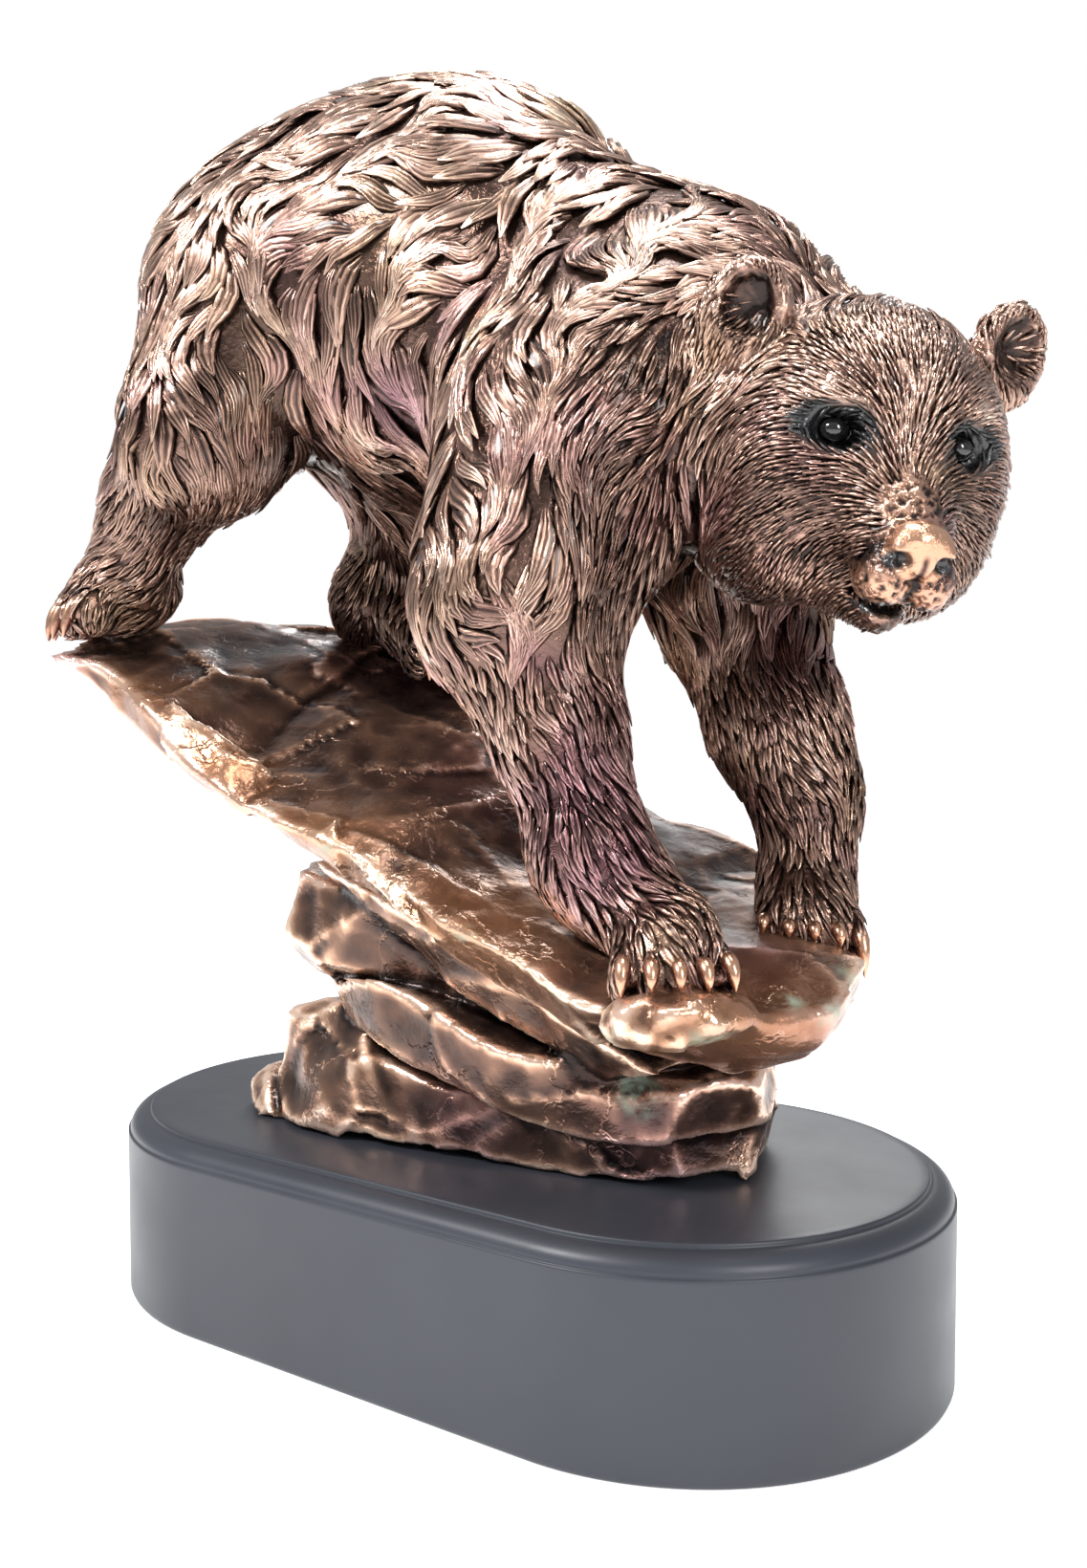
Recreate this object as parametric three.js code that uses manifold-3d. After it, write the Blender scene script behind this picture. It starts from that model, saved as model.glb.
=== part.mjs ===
// A cast grizzly bear walking down a ledge of stacked rock slabs, on a black
// oval plinth. Millimetres, +Z up, origin at the centre of the plinth's
// underside, +X along the plinth towards the bear's head, -Y the bear's right.
import * as THREE from 'three';
import { ConvexGeometry } from 'three/addons/geometries/ConvexGeometry.js';
import { mergeVertices } from 'three/addons/utils/BufferGeometryUtils.js';
import Module from 'manifold-3d';

const wasm = await Module();
wasm.setup();

// Plinth
const PLINTH_LENGTH = 200;
const PLINTH_WIDTH = 110.6;
const PLINTH_HEIGHT = 41.9;
const WALL_HEIGHT = 37.2;
const FOOT_CHAMFER = 0.8;
const LIP_DEPTH = 0.5;
const PLATEAU_INSET = 5.2;
const PLATEAU_STEP = 0.9;
const MOULDING_RINGS = 3;
const END_SEGMENTS = 10;

// Casting of bear and rocks: every coordinate of the figure is a share of its
// height from the plateau to the top of the back
const FIGURE_HEIGHT = 234;
const SEAT_GAP = 0.3;

// Facet sizes of the carved skin
const BODY_FACET = 11;
const HEAD_FACET = 5;
const PAW_FACET = 4.6;
const CREASE_DRAW = 0.12;

// Locks of fur
const LOCK_LENGTH = 33;
const LOCK_WIDTH = 12;
const LOCK_RELIEF = 2;
const LOCK_ROOT_DEPTH = 3.2;
const LOCK_ROWS = 5;
const LOCKS_PER_ROW = 6;
const RUFF_LOCKS = 8;
const COAT_FRONT = 46;
const COAT_BACK = -74;

// Claws
const CLAWS_PER_PAW = 5;
const CLAW_LENGTH = 8.2;
const CLAW_RADIUS = 1.9;
const CLAW_SIDES = 4;

const DESIGN_HEIGHT = 234;
const u = FIGURE_HEIGHT / DESIGN_HEIGHT;

// Solids

function solid(geometry) {
  const bare = new THREE.BufferGeometry();
  bare.setAttribute('position', geometry.getAttribute('position'));
  if (geometry.index) bare.setIndex(geometry.index);
  const merged = mergeVertices(bare, 1e-5);
  return new wasm.Manifold(new wasm.Mesh({
    numProp: 3,
    vertProperties: new Float32Array(merged.getAttribute('position').array),
    triVerts: new Uint32Array(merged.index.array),
  }));
}

function indexed(points, triangles) {
  const geometry = new THREE.BufferGeometry();
  geometry.setAttribute('position', new THREE.Float32BufferAttribute(points.flat(), 3));
  geometry.setIndex(triangles.flat());
  return geometry;
}

function meshOf(name, shape, material) {
  const mesh = shape.getMesh();
  const geometry = new THREE.BufferGeometry();
  geometry.setAttribute('position', new THREE.BufferAttribute(mesh.vertProperties, 3));
  geometry.setIndex(new THREE.BufferAttribute(mesh.triVerts, 1));
  geometry.computeVertexNormals();
  const out = new THREE.Mesh(geometry, material);
  out.name = name;
  return out;
}

// Vectors

const sub = (a, b) => [a[0] - b[0], a[1] - b[1], a[2] - b[2]];
const add = (a, b) => [a[0] + b[0], a[1] + b[1], a[2] + b[2]];
const times = (a, k) => [a[0] * k, a[1] * k, a[2] * k];
const dot = (a, b) => a[0] * b[0] + a[1] * b[1] + a[2] * b[2];
const cross = (a, b) => [
  a[1] * b[2] - a[2] * b[1],
  a[2] * b[0] - a[0] * b[2],
  a[0] * b[1] - a[1] * b[0],
];
const unit = (a) => times(a, 1 / Math.hypot(...a));
const scaled = (a) => times(a, u);

// Rows forward, left and up of a frame turned by yaw, pitched down and rolled
function frame(yaw, pitch, roll = 0) {
  const [y, p, r] = [yaw, pitch, roll].map((a) => a * Math.PI / 180);
  const f = [Math.cos(y) * Math.cos(p), Math.sin(y) * Math.cos(p), -Math.sin(p)];
  const l = [-Math.sin(y), Math.cos(y), 0];
  const w = cross(f, l);
  return [
    f,
    sub(times(l, Math.cos(r)), times(w, Math.sin(r))),
    add(times(l, Math.sin(r)), times(w, Math.cos(r))),
  ];
}
const into = (F, d) => [dot(F[0], d), dot(F[1], d), dot(F[2], d)];
const outOf = (F, d) => add(add(times(F[0], d[0]), times(F[1], d[1])), times(F[2], d[2]));

// Distance fields

function blend(a, b, k) {
  const h = Math.min(1, Math.max(0, 0.5 + 0.5 * (b - a) / k));
  return b * (1 - h) + a * h - k * h * (1 - h);
}

function ovoid(p, centre, radii, F) {
  let d = sub(p, centre);
  if (F) d = into(F, d);
  const k0 = Math.hypot(d[0] / radii[0], d[1] / radii[1], d[2] / radii[2]);
  const k1 = Math.hypot(d[0] / radii[0] ** 2, d[1] / radii[1] ** 2, d[2] / radii[2] ** 2);
  return k0 * (k0 - 1) / Math.max(k1, 1e-9);
}

function taper(p, a, b, ra, rb) {
  const ba = sub(b, a);
  const pa = sub(p, a);
  const l2 = dot(ba, ba);
  const t = Math.min(1, Math.max(0, dot(pa, ba) / l2));
  return Math.hypot(...sub(pa, times(ba, t))) - (ra + (rb - ra) * t);
}

// Trunk, neck, limbs and head, all as shares of DESIGN_HEIGHT above the plateau
const TRUNK = [
  { at: [-45, 1, 193], radii: [44, 38.3, 39.4], soft: 20 },
  { at: [-12, 1, 183], radii: [46, 40.3, 46.5], soft: 20 },
  { at: [31, 0.5, 158], radii: [37.5, 36.8, 40.4], soft: 20 },
  { at: [35.5, 1, 170], radii: [26, 20, 23], soft: 12 },
];
const NECK = { from: [50, 2, 159], to: [72, 8, 144], radii: [31, 24], soft: 12 };

const LIMBS = {
  right_hind: {
    joints: [[-56, -14.5, 185.5], [-61.5, -33, 154], [-81, -30.5, 141], [-94, -30, 124]],
    radii: [31.5, 17.5, 11, 10], paw: [-94, -31, 119], aim: [-122, 12], size: [15, 14.5, 9],
  },
  left_hind: {
    joints: [[-49, 20, 176], [-37.5, 24.5, 146.5], [-54, 27, 127], [-58, 21, 119]],
    radii: [33, 21.5, 13, 12.5], paw: [-39, 18, 111], aim: [-15, 21], size: [18, 12.5, 9],
  },
  right_fore: {
    joints: [[35.5, -20, 148.5], [29, -36, 114.5], [39, -36, 87.5], [46, -36, 66], [50, -34, 59.5]],
    radii: [30, 19.5, 11, 10, 10.5], paw: [63.5, -38, 51.3], aim: [-46, 24], size: [16.5, 12.8, 8.6],
  },
  left_fore: {
    joints: [[44, 19, 145.5], [46, 21, 114.5], [57, 17.5, 89], [64, 17, 75], [65, 15.5, 63]],
    radii: [27.5, 17, 13, 9.6, 9.8], paw: [68, 9, 53.3], aim: [-57, 28], size: [14.5, 11, 9],
  },
};

const HEAD_AT = [85, -7.6, 141.2];
const HEAD_TURN = [-46.3, 16, 7.1];
const HEAD_FRAME = frame(...HEAD_TURN);
const onHead = (f, l, w) => scaled(add(HEAD_AT, outOf(HEAD_FRAME, [f, l, w])));

function trunkField(p) {
  let d = 1e3;
  for (const part of TRUNK) d = blend(ovoid(p, part.at, part.radii), d, part.soft);
  return blend(taper(p, NECK.from, NECK.to, ...NECK.radii), d, NECK.soft);
}

function limbField(p, limb) {
  let d = 1e3;
  for (let i = 0; i + 1 < limb.joints.length; i += 1) {
    const bone = taper(p, limb.joints[i], limb.joints[i + 1], limb.radii[i], limb.radii[i + 1]);
    d = blend(bone, d, 8);
  }
  return d;
}

function pawField(p, limb) {
  const [length, width, depth] = limb.size;
  const F = frame(...limb.aim);
  let d = ovoid(p, limb.paw, [length * 0.92, width * 0.92, depth], F);
  for (let k = 0; k < CLAWS_PER_PAW; k += 1) {
    const side = k - (CLAWS_PER_PAW - 1) / 2;
    const t = side / 2;
    const at = [length * (0.72 - 0.16 * t * t), t * width * 0.76, -depth * 0.2];
    const toe = frame(limb.aim[0] + t * 14, limb.aim[1] + 8);
    const size = [length * 0.42, width * 0.25, depth * 0.7];
    d = blend(ovoid(p, add(limb.paw, outOf(F, at)), size, toe), d, 1);
  }
  return d;
}

function bodyField(p) {
  let d = trunkField(p);
  for (const limb of Object.values(LIMBS)) d = blend(limbField(p, limb), d, 9);
  return d;
}

function headField(q) {
  const p = into(HEAD_FRAME, sub(q, HEAD_AT));
  let d = ovoid(p, [-5, 0, 2], [30, 26.5, 24]);
  d = blend(ovoid(p, [7, 0, 9], [17, 15, 12]), d, 8);
  for (const s of [-1, 1]) {
    d = blend(ovoid(p, [5, s * 12, -8], [20, 13.5, 18.5]), d, 8);
    d = blend(ovoid(p, [-10, s * 15, -8], [17, 14.5, 22]), d, 8);
  }
  d = blend(taper(p, [14, 0, -3], [37, 0, -11], 14.5, 9), d, 6);
  d = blend(taper(p, [12, 0, -18], [34, 0, -22.8], 11.5, 4.8), d, 3);
  for (const s of [-1, 1]) {
    d = blend(ovoid(p, [37.5, s * 4.6, -14.8], [7, 5.6, 6.2]), d, 2.5);
    d = blend(taper(p, [20, s * 5, 8.6], [14.5, s * 15.5, 9.6], 2.6, 2.2), d, 3.5);
    d = -blend(ovoid(p, [23, s * 11.6, 3.6], [4.5, 4.6, 3.4]), -d, 2.2);
  }
  return blend(ovoid(p, [42.2, 0, -8.2], [4.6, 6.3, 5.2]), d, 1);
}

const figureField = (p) => blend(headField(p), bodyField(p), 6);

function gradient(field, p) {
  const e = 0.4;
  return unit([0, 1, 2].map((k) => {
    const a = [...p];
    const b = [...p];
    a[k] += e;
    b[k] -= e;
    return field(a) - field(b);
  }));
}

// Closed faceted skin of a field inside a box: one vertex for each cell that
// the surface crosses, one quad for each grid edge that it crosses
function skin(field, lo, hi, cell) {
  const n = lo.map((v, k) => Math.ceil((hi[k] - v) / cell) + 1);
  const place = (i, j, k) => [lo[0] + i * cell, lo[1] + j * cell, lo[2] + k * cell];
  const id = (i, j, k) => (i * n[1] + j) * n[2] + k;
  const value = new Float64Array(n[0] * n[1] * n[2]);
  for (let i = 0; i < n[0]; i += 1) {
    for (let j = 0; j < n[1]; j += 1) {
      for (let k = 0; k < n[2]; k += 1) value[id(i, j, k)] = field(place(i, j, k));
    }
  }
  const vertex = new Map();
  const points = [];
  for (let i = 0; i + 1 < n[0]; i += 1) {
    for (let j = 0; j + 1 < n[1]; j += 1) {
      for (let k = 0; k + 1 < n[2]; k += 1) {
        let count = 0;
        let sum = [0, 0, 0];
        for (let axis = 0; axis < 3; axis += 1) {
          for (let c = 0; c < 4; c += 1) {
            const a = [i, j, k];
            a[(axis + 1) % 3] += c & 1;
            a[(axis + 2) % 3] += c >> 1;
            const b = [...a];
            b[axis] += 1;
            const va = value[id(...a)];
            const vb = value[id(...b)];
            if ((va < 0) === (vb < 0)) continue;
            const at = [...a];
            at[axis] += va / (va - vb);
            sum = add(sum, at);
            count += 1;
          }
        }
        if (!count) continue;
        vertex.set(id(i, j, k), points.length);
        points.push(scaled(place(...times(sum, 1 / count))));
      }
    }
  }
  const triangles = [];
  for (let axis = 0; axis < 3; axis += 1) {
    const q = (axis + 1) % 3;
    const r = (axis + 2) % 3;
    for (let i = 0; i < n[0] - 1; i += 1) {
      for (let j = 0; j < n[1] - 1; j += 1) {
        for (let k = 0; k < n[2] - 1; k += 1) {
          const a = [i, j, k];
          if (a[q] === 0 || a[r] === 0) continue;
          const b = [...a];
          b[axis] += 1;
          const inside = value[id(...a)] < 0;
          if (inside === value[id(...b)] < 0) continue;
          const corner = (dq, dr) => {
            const c = [...a];
            c[q] -= dq;
            c[r] -= dr;
            return vertex.get(id(...c));
          };
          const quad = [corner(1, 1), corner(0, 1), corner(0, 0), corner(1, 0)];
          if (!inside) quad.reverse();
          triangles.push([quad[0], quad[1], quad[2]], [quad[0], quad[2], quad[3]]);
        }
      }
    }
  }
  return parted(solid(indexed(points, triangles)));
}

// Where two sheets of a skin touch in a crease, each is drawn back a little to
// its own side, so that no corner is shared
function parted(shape) {
  const mesh = shape.getMesh();
  const v = mesh.vertProperties;
  const t = mesh.triVerts;
  const place = (i) => `${v[3 * i]} ${v[3 * i + 1]} ${v[3 * i + 2]}`;
  const count = new Map();
  const total = v.length / 3;
  for (let i = 0; i < total; i += 1) count.set(place(i), (count.get(place(i)) || 0) + 1);
  const twice = new Set();
  for (let i = 0; i < total; i += 1) if (count.get(place(i)) > 1) twice.add(i);
  if (!twice.size) return shape;
  const moved = new Float32Array(v);
  for (const i of twice) {
    const near = new Set();
    for (let k = 0; k < t.length; k += 3) {
      const face = [t[k], t[k + 1], t[k + 2]];
      if (face.includes(i)) face.filter((j) => j !== i).forEach((j) => near.add(j));
    }
    for (let axis = 0; axis < 3; axis += 1) {
      let mean = 0;
      for (const j of near) mean += v[3 * j + axis] / near.size;
      moved[3 * i + axis] += CREASE_DRAW * (mean - v[3 * i + axis]);
    }
  }
  return new wasm.Manifold(new wasm.Mesh({ numProp: 3, vertProperties: moved, triVerts: t }));
}

// The outer shell alone: a pocket closed in between overlapping locks is filled
function filled(shape) {
  const { vertProperties: v, triVerts: t } = shape.getMesh();
  const parent = Array.from({ length: v.length / 3 }, (_, i) => i);
  const find = (i) => {
    while (parent[i] !== i) {
      parent[i] = parent[parent[i]];
      i = parent[i];
    }
    return i;
  };
  for (let k = 0; k < t.length; k += 3) {
    parent[find(t[k])] = find(t[k + 1]);
    parent[find(t[k + 1])] = find(t[k + 2]);
  }
  const volume = new Map();
  const point = (i) => [v[3 * i], v[3 * i + 1], v[3 * i + 2]];
  for (let k = 0; k < t.length; k += 3) {
    const shell = find(t[k]);
    const piece = dot(point(t[k]), cross(point(t[k + 1]), point(t[k + 2])));
    volume.set(shell, (volume.get(shell) || 0) + piece);
  }
  const outer = [...volume].sort((a, b) => b[1] - a[1])[0][0];
  const kept = [];
  for (let k = 0; k < t.length; k += 3) {
    if (find(t[k]) === outer) kept.push([t[k], t[k + 1], t[k + 2]]);
  }
  const points = parent.map((_, i) => point(i));
  return solid(indexed(points, kept));
}

// Rings and ribbons

// Closed loft through rings of equal length, with fans over both ends
function loft(rings) {
  const m = rings[0].length;
  const points = rings.flat();
  const triangles = [];
  for (let r = 0; r + 1 < rings.length; r += 1) {
    for (let i = 0; i < m; i += 1) {
      const j = (i + 1) % m;
      const a = r * m;
      const b = a + m;
      triangles.push([a + i, a + j, b + j], [a + i, b + j, b + i]);
    }
  }
  const last = (rings.length - 1) * m;
  for (let i = 1; i + 1 < m; i += 1) {
    triangles.push([0, i + 1, i], [last, last + i, last + i + 1]);
  }
  return indexed(points, triangles);
}

// Loft of rings that closes to a point at each end
function spindle(rings, root, tip) {
  const m = rings[0].length;
  const points = [root, ...rings.flat(), tip];
  const triangles = [];
  for (let i = 0; i < m; i += 1) {
    const j = (i + 1) % m;
    triangles.push([0, 1 + j, 1 + i]);
    for (let r = 0; r + 1 < rings.length; r += 1) {
      const a = 1 + r * m;
      const b = a + m;
      triangles.push([a + i, a + j, b + j], [a + i, b + j, b + i]);
    }
    const end = 1 + (rings.length - 1) * m;
    triangles.push([points.length - 1, end + i, end + j]);
  }
  return indexed(points, triangles);
}

// Plinth

function stadium(inset, z) {
  const radius = PLINTH_WIDTH / 2 - inset;
  const straight = (PLINTH_LENGTH - PLINTH_WIDTH) / 2;
  const outline = new THREE.Shape();
  outline.absarc(straight, 0, radius, -Math.PI / 2, Math.PI / 2, false);
  outline.absarc(-straight, 0, radius, Math.PI / 2, Math.PI * 1.5, false);
  const seen = [];
  for (const p of outline.getPoints(END_SEGMENTS)) {
    const far = seen.every((s) => Math.hypot(s[0] - p.x, s[1] - p.y) > 1e-6);
    if (far) seen.push([p.x, p.y, z]);
  }
  return seen;
}

function plinth() {
  const rings = [
    stadium(FOOT_CHAMFER, 0),
    stadium(0, FOOT_CHAMFER),
    stadium(0, WALL_HEIGHT),
    stadium(LIP_DEPTH, WALL_HEIGHT + LIP_DEPTH * 0.3),
  ];
  const rise = PLINTH_HEIGHT - PLATEAU_STEP - WALL_HEIGHT - LIP_DEPTH * 0.3;
  for (let i = 1; i <= MOULDING_RINGS; i += 1) {
    const a = (i / MOULDING_RINGS) * Math.PI / 2;
    const inset = LIP_DEPTH + (PLATEAU_INSET - LIP_DEPTH - 0.2) * (1 - Math.cos(a));
    rings.push(stadium(inset, WALL_HEIGHT + LIP_DEPTH * 0.3 + rise * Math.sin(a)));
  }
  rings.push(stadium(PLATEAU_INSET, PLINTH_HEIGHT));
  return solid(loft(rings));
}

// Rocks

// Corners of each slab: its upper side first, then its underside
const SLABS = {
  ledge_tip: [
    [-106, -46, 107], [-110, -36, 110.5], [-97, -6, 116], [-88, 28, 115], [-55, 40, 110],
    [-50, 8, 108.5], [-86, -48, 103], [-72, -47, 99], [-58, -49, 89.5], [-40, -48, 76],
    [-86, -45, 93], [-65, -46, 82.5], [-42, -45, 72], [-94, -16, 98], [-72, 26, 84], [-45, 34, 72],
  ],
  ledge_middle: [
    [-60, 38, 109], [-52, 10, 108], [-30, 14, 101.5], [-16, 10, 95], [0, 40, 80], [8, 8, 80],
    [-44, -49, 77.5], [-26, -51, 71], [-22, -30, 80], [2, -51, 64.5], [24, -50, 55],
    [-40, -45, 72], [-24, -45, 65], [10, -45, 50], [-35, 32, 66], [20, 34, 50],
  ],
  ledge_front: [
    [-5, 36, 80], [13, 38, 71], [30, 34, 66], [48, 28, 58], [4, 4, 80], [30, 2, 64], [38, -14, 56],
    [-4, -51, 65], [14, -53, 58], [30, -53, 53], [52, -56, 43.5], [60, -10, 46],
    [12, -46, 50], [34, -46, 38], [55, -42, 30], [10, 30, 50], [48, 28, 32],
  ],
  ledge_nose: [
    [48, -55, 44.5], [60, -58, 42], [73, -55, 42.5], [84, -48, 42.5], [93.5, -27, 42.5], [89, -8, 45.5],
    [75, 15, 45.5], [60, 28, 51], [40, 20, 58], [74, -51, 38], [84, -41, 34], [91, -25, 35],
    [83, -21, 27.5], [68, -20, 23], [44, -40, 33], [74, 14, 34], [50, 28, 28],
  ],
  ledge_chip: [
    [-64, -50, 90], [-46, -52, 80], [-34, -52, 76], [-30, -50, 70], [-44, -44, 90], [-30, -40, 80],
    [-60, -42, 96], [-52, -46, 74], [-36, -40, 70],
  ],
  ledge_shelf: [
    [-2, -54, 63], [12, -55, 55], [22, -54, 50], [26, -48, 47], [-8, -46, 71], [10, -42, 66],
    [28, -42, 58], [6, -46, 54], [0, -40, 60],
  ],
  rear_ridge: [
    [2, 28, 73], [14, 38, 70.5], [30, 36, 67], [46, 28, 60], [54, 14, 50], [20, 12, 68],
    [20, 44, 50], [48, 36, 44], [20, 14, 50], [50, 8, 44],
  ],
  under_layer: [
    [-28, -38, 62], [8, -40, 50], [38, -38, 34], [62, -32, 26], [-30, 24, 60], [58, 24, 26],
    [-20, -32, 50], [14, -34, 34], [44, -30, 20], [-22, 26, 46], [52, 24, 18],
  ],
  left_block: [
    [-49, -15, 57], [-36, -31, 58], [-12, -36, 52], [-46, 20, 60], [20, -20, 52], [10, 24, 54],
    [-54, -14, 49], [-56.5, -14, 39], [-45, -15, 31.5], [-40, -32, 42], [-26, -34, 36],
    [-52, 18, 36], [16, -24, 30], [14, 26, 28],
  ],
  big_slab: [
    [-32, -24, 36], [-10, -36, 36], [26, -38, 28], [60, -22, 23], [66, -10, 20], [52, 30, 26],
    [-34, 28, 36], [-28, -25, 25], [-10, -33, 20], [17, -35, 14.5], [30, -33, 10], [46, -28, 9],
    [57, -25, 7.5], [67, -6, 10], [50, 28, 8], [-30, 26, 16],
  ],
  foot: [
    [-24, -27, 20], [20, -28, 13], [56, -21, 11], [64, -6, 12], [56, 24, 12], [-30, 28, 18],
    [-24, -30, 0], [-12, -33, 0], [10, -26, 0], [22, -21.5, 0], [41.5, -22, 0], [57, -20, 0],
    [64.5, -5, 0], [61, 10, 0], [46, 30, 0], [-6, 36, 0], [-36, 32, 0],
  ],
  boulder: [
    [-46, -22, 25], [-38, -19, 28], [-22, -24, 26], [-16, -29, 19], [-44, 12, 24], [-16, 14, 24],
    [-51, -26, 8], [-37, -33.4, 0], [-26, -34.5, 6], [-12, -33, 0], [-4, -31, 0], [-50, 14, 0],
    [-12, 22, 0], [-50, -24, 0],
  ],
  cobble: [
    [-56, -21, 11], [-60, -24, 6], [-50, -28, 8], [-50, -8, 12], [-61.6, -21.4, 0],
    [-52, -30, 0], [-44, -32, 0], [-42, -6, 0], [-60, -6, 0], [-58, -4, 6],
  ],
};

function rocks() {
  let pile = null;
  for (const corners of Object.values(SLABS)) {
    const points = corners.map((c) => new THREE.Vector3(...scaled(c)));
    const slab = solid(new ConvexGeometry(points));
    pile = pile ? pile.add(slab) : slab;
  }
  return pile;
}

// Head details

function ball(centre, radii, F, across, down) {
  const geometry = new THREE.SphereGeometry(1, across, down);
  const basis = new THREE.Matrix4().makeBasis(
    new THREE.Vector3(...times(F[0], radii[0] * u)),
    new THREE.Vector3(...times(F[1], radii[1] * u)),
    new THREE.Vector3(...times(F[2], radii[2] * u)),
  );
  basis.setPosition(...centre);
  geometry.applyMatrix4(basis);
  return solid(geometry);
}

const EAR_SPREAD = 24.8;
const EAR_OUTER = [8.2, 9.6];
const EAR_DEPTH = 5;
const EAR_CUP = 0.72;
const EAR_TURN = 22;

function ear(side) {
  const profile = [
    new THREE.Vector2(0, -EAR_DEPTH),
    new THREE.Vector2(0.72, -EAR_DEPTH * 0.62),
    new THREE.Vector2(1, 0),
    new THREE.Vector2(0.93, EAR_DEPTH * 0.2),
    new THREE.Vector2(EAR_CUP, -EAR_DEPTH * 0.05),
    new THREE.Vector2(0, -EAR_DEPTH * 0.5),
  ];
  const geometry = new THREE.LatheGeometry(profile, 10);
  const local = frame(side * EAR_TURN, 0);
  const F = local.map((row) => outOf(HEAD_FRAME, row));
  const basis = new THREE.Matrix4().makeBasis(
    new THREE.Vector3(...times(F[1], EAR_OUTER[0] * u)),
    new THREE.Vector3(...times(F[0], u)),
    new THREE.Vector3(...times(F[2], EAR_OUTER[1] * u)),
  );
  basis.setPosition(...onHead(-0.5, side * EAR_SPREAD, 19.3));
  geometry.applyMatrix4(basis);
  const flipped = basis.determinant() < 0;
  const made = solidFacingOut(geometry, flipped);
  return made;
}

function solidFacingOut(geometry, flipped) {
  if (flipped) {
    const index = geometry.index;
    for (let i = 0; i < index.count; i += 3) {
      const a = index.getX(i);
      index.setX(i, index.getX(i + 1));
      index.setX(i + 1, a);
    }
  }
  return solid(geometry);
}

// Claws

function claw(limb, k) {
  const [length, width, depth] = limb.size;
  const F = frame(...limb.aim);
  const t = (k - (CLAWS_PER_PAW - 1) / 2) / 2;
  const x = length * (1 - 0.16 * t * t);
  const y = t * width * 0.8;
  const at = (a, b, c) => scaled(add(limb.paw, outOf(F, [a, b, c])));
  const line = [
    [at(x - 2.5, y * 0.96, depth * 0.02), CLAW_RADIUS],
    [at(x + CLAW_LENGTH * 0.45, y * 1.05, -depth * 0.16), CLAW_RADIUS * 0.76],
  ];
  const rings = line.map(([centre, radius]) => {
    const ring = [];
    for (let i = 0; i < CLAW_SIDES; i += 1) {
      const a = ((i + 0.5) / CLAW_SIDES) * Math.PI * 2;
      const r = radius * u;
      ring.push(add(centre, add(times(F[1], r * Math.cos(a)), times(F[2], r * Math.sin(a)))));
    }
    return ring;
  });
  const tip = at(x + CLAW_LENGTH * 0.82, y * 1.08, -depth * 0.72);
  return solid(spindle(rings, at(x - 3.4, y * 0.94, 0), tip));
}

// Locks of fur

// Which way the coat lies at a point of the figure
function coat(p) {
  if (p[0] > 62) return [-0.75, -0.2, -0.65];
  const side = Math.abs(p[1]) / 38;
  const low = Math.max(0, (150 - p[2]) / 60);
  return [-1 + low, 0, -0.15 - 0.75 * side * side - 0.8 * low];
}

function surfacePoint(from, along) {
  let far = 0;
  while (figureField(add(from, times(along, far))) < 0 && far < 90) far += 1;
  let near = far - 1;
  for (let i = 0; i < 12; i += 1) {
    const middle = (near + far) / 2;
    if (figureField(add(from, times(along, middle))) < 0) near = middle;
    else far = middle;
  }
  return add(from, times(along, far));
}

function lock(start, length, width, relief, bend) {
  const steps = 4;
  let p = start;
  const rings = [];
  let root = null;
  let tip = null;
  for (let s = 0; s <= steps; s += 1) {
    const n = gradient(figureField, p);
    p = sub(p, times(n, figureField(p)));
    let way = coat(p);
    way = unit(sub(way, times(n, dot(way, n))));
    const across = cross(n, way);
    const t = s / steps;
    way = unit(add(way, times(across, bend * Math.cos(t * Math.PI * 1.3))));
    const wide = width * 0.5 * Math.sin(Math.PI * (0.12 + 0.8 * t)) ** 0.8;
    const put = (a, b) => scaled(add(p, add(times(across, a), times(n, b))));
    if (s === 0) {
      root = put(0, -LOCK_ROOT_DEPTH * 0.4);
    } else if (s === steps) {
      tip = put(0, relief * 0.5);
    } else {
      rings.push([
        put(wide, -LOCK_ROOT_DEPTH * 0.4),
        put(wide * 0.15, relief * (0.6 + 0.5 * t)),
        put(-wide, -LOCK_ROOT_DEPTH * 0.4),
      ]);
    }
    p = add(p, times(way, length / steps));
  }
  return solid(spindle(rings, root, tip));
}

function coatLocks() {
  const locks = [];
  const place = (from, along, size, bend) => {
    const start = surfacePoint(from, along);
    locks.push(lock(start, LOCK_LENGTH * size, LOCK_WIDTH * size, LOCK_RELIEF * size, bend));
  };
  for (let row = 0; row < LOCK_ROWS; row += 1) {
    const t = row / (LOCK_ROWS - 1);
    const axis = [COAT_FRONT + (COAT_BACK - COAT_FRONT) * t, 1, 160 + 30 * Math.min(1, t * 1.7)];
    for (let i = 0; i < LOCKS_PER_ROW; i += 1) {
      const angle = -0.5 + (i + (row % 2) * 0.5) / (LOCKS_PER_ROW - 0.5) * (Math.PI + 1);
      const size = 0.94 + 0.16 * Math.sin(row * 2.1 + i * 1.3);
      place(axis, [0, Math.cos(angle), Math.sin(angle)], size, 0.4 * Math.sin(row * 1.9 + i * 2.6));
    }
  }
  for (let i = 0; i < RUFF_LOCKS; i += 1) {
    const angle = -0.95 + (i + 0.5) / RUFF_LOCKS * (Math.PI + 1.9);
    const from = add(HEAD_AT, outOf(HEAD_FRAME, [i % 2 ? -12 : -20, 0, 0]));
    place(from, outOf(HEAD_FRAME, [0, Math.cos(angle), Math.sin(angle)]), 0.8, 0.2);
  }
  return locks;
}

// Casting

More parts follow.
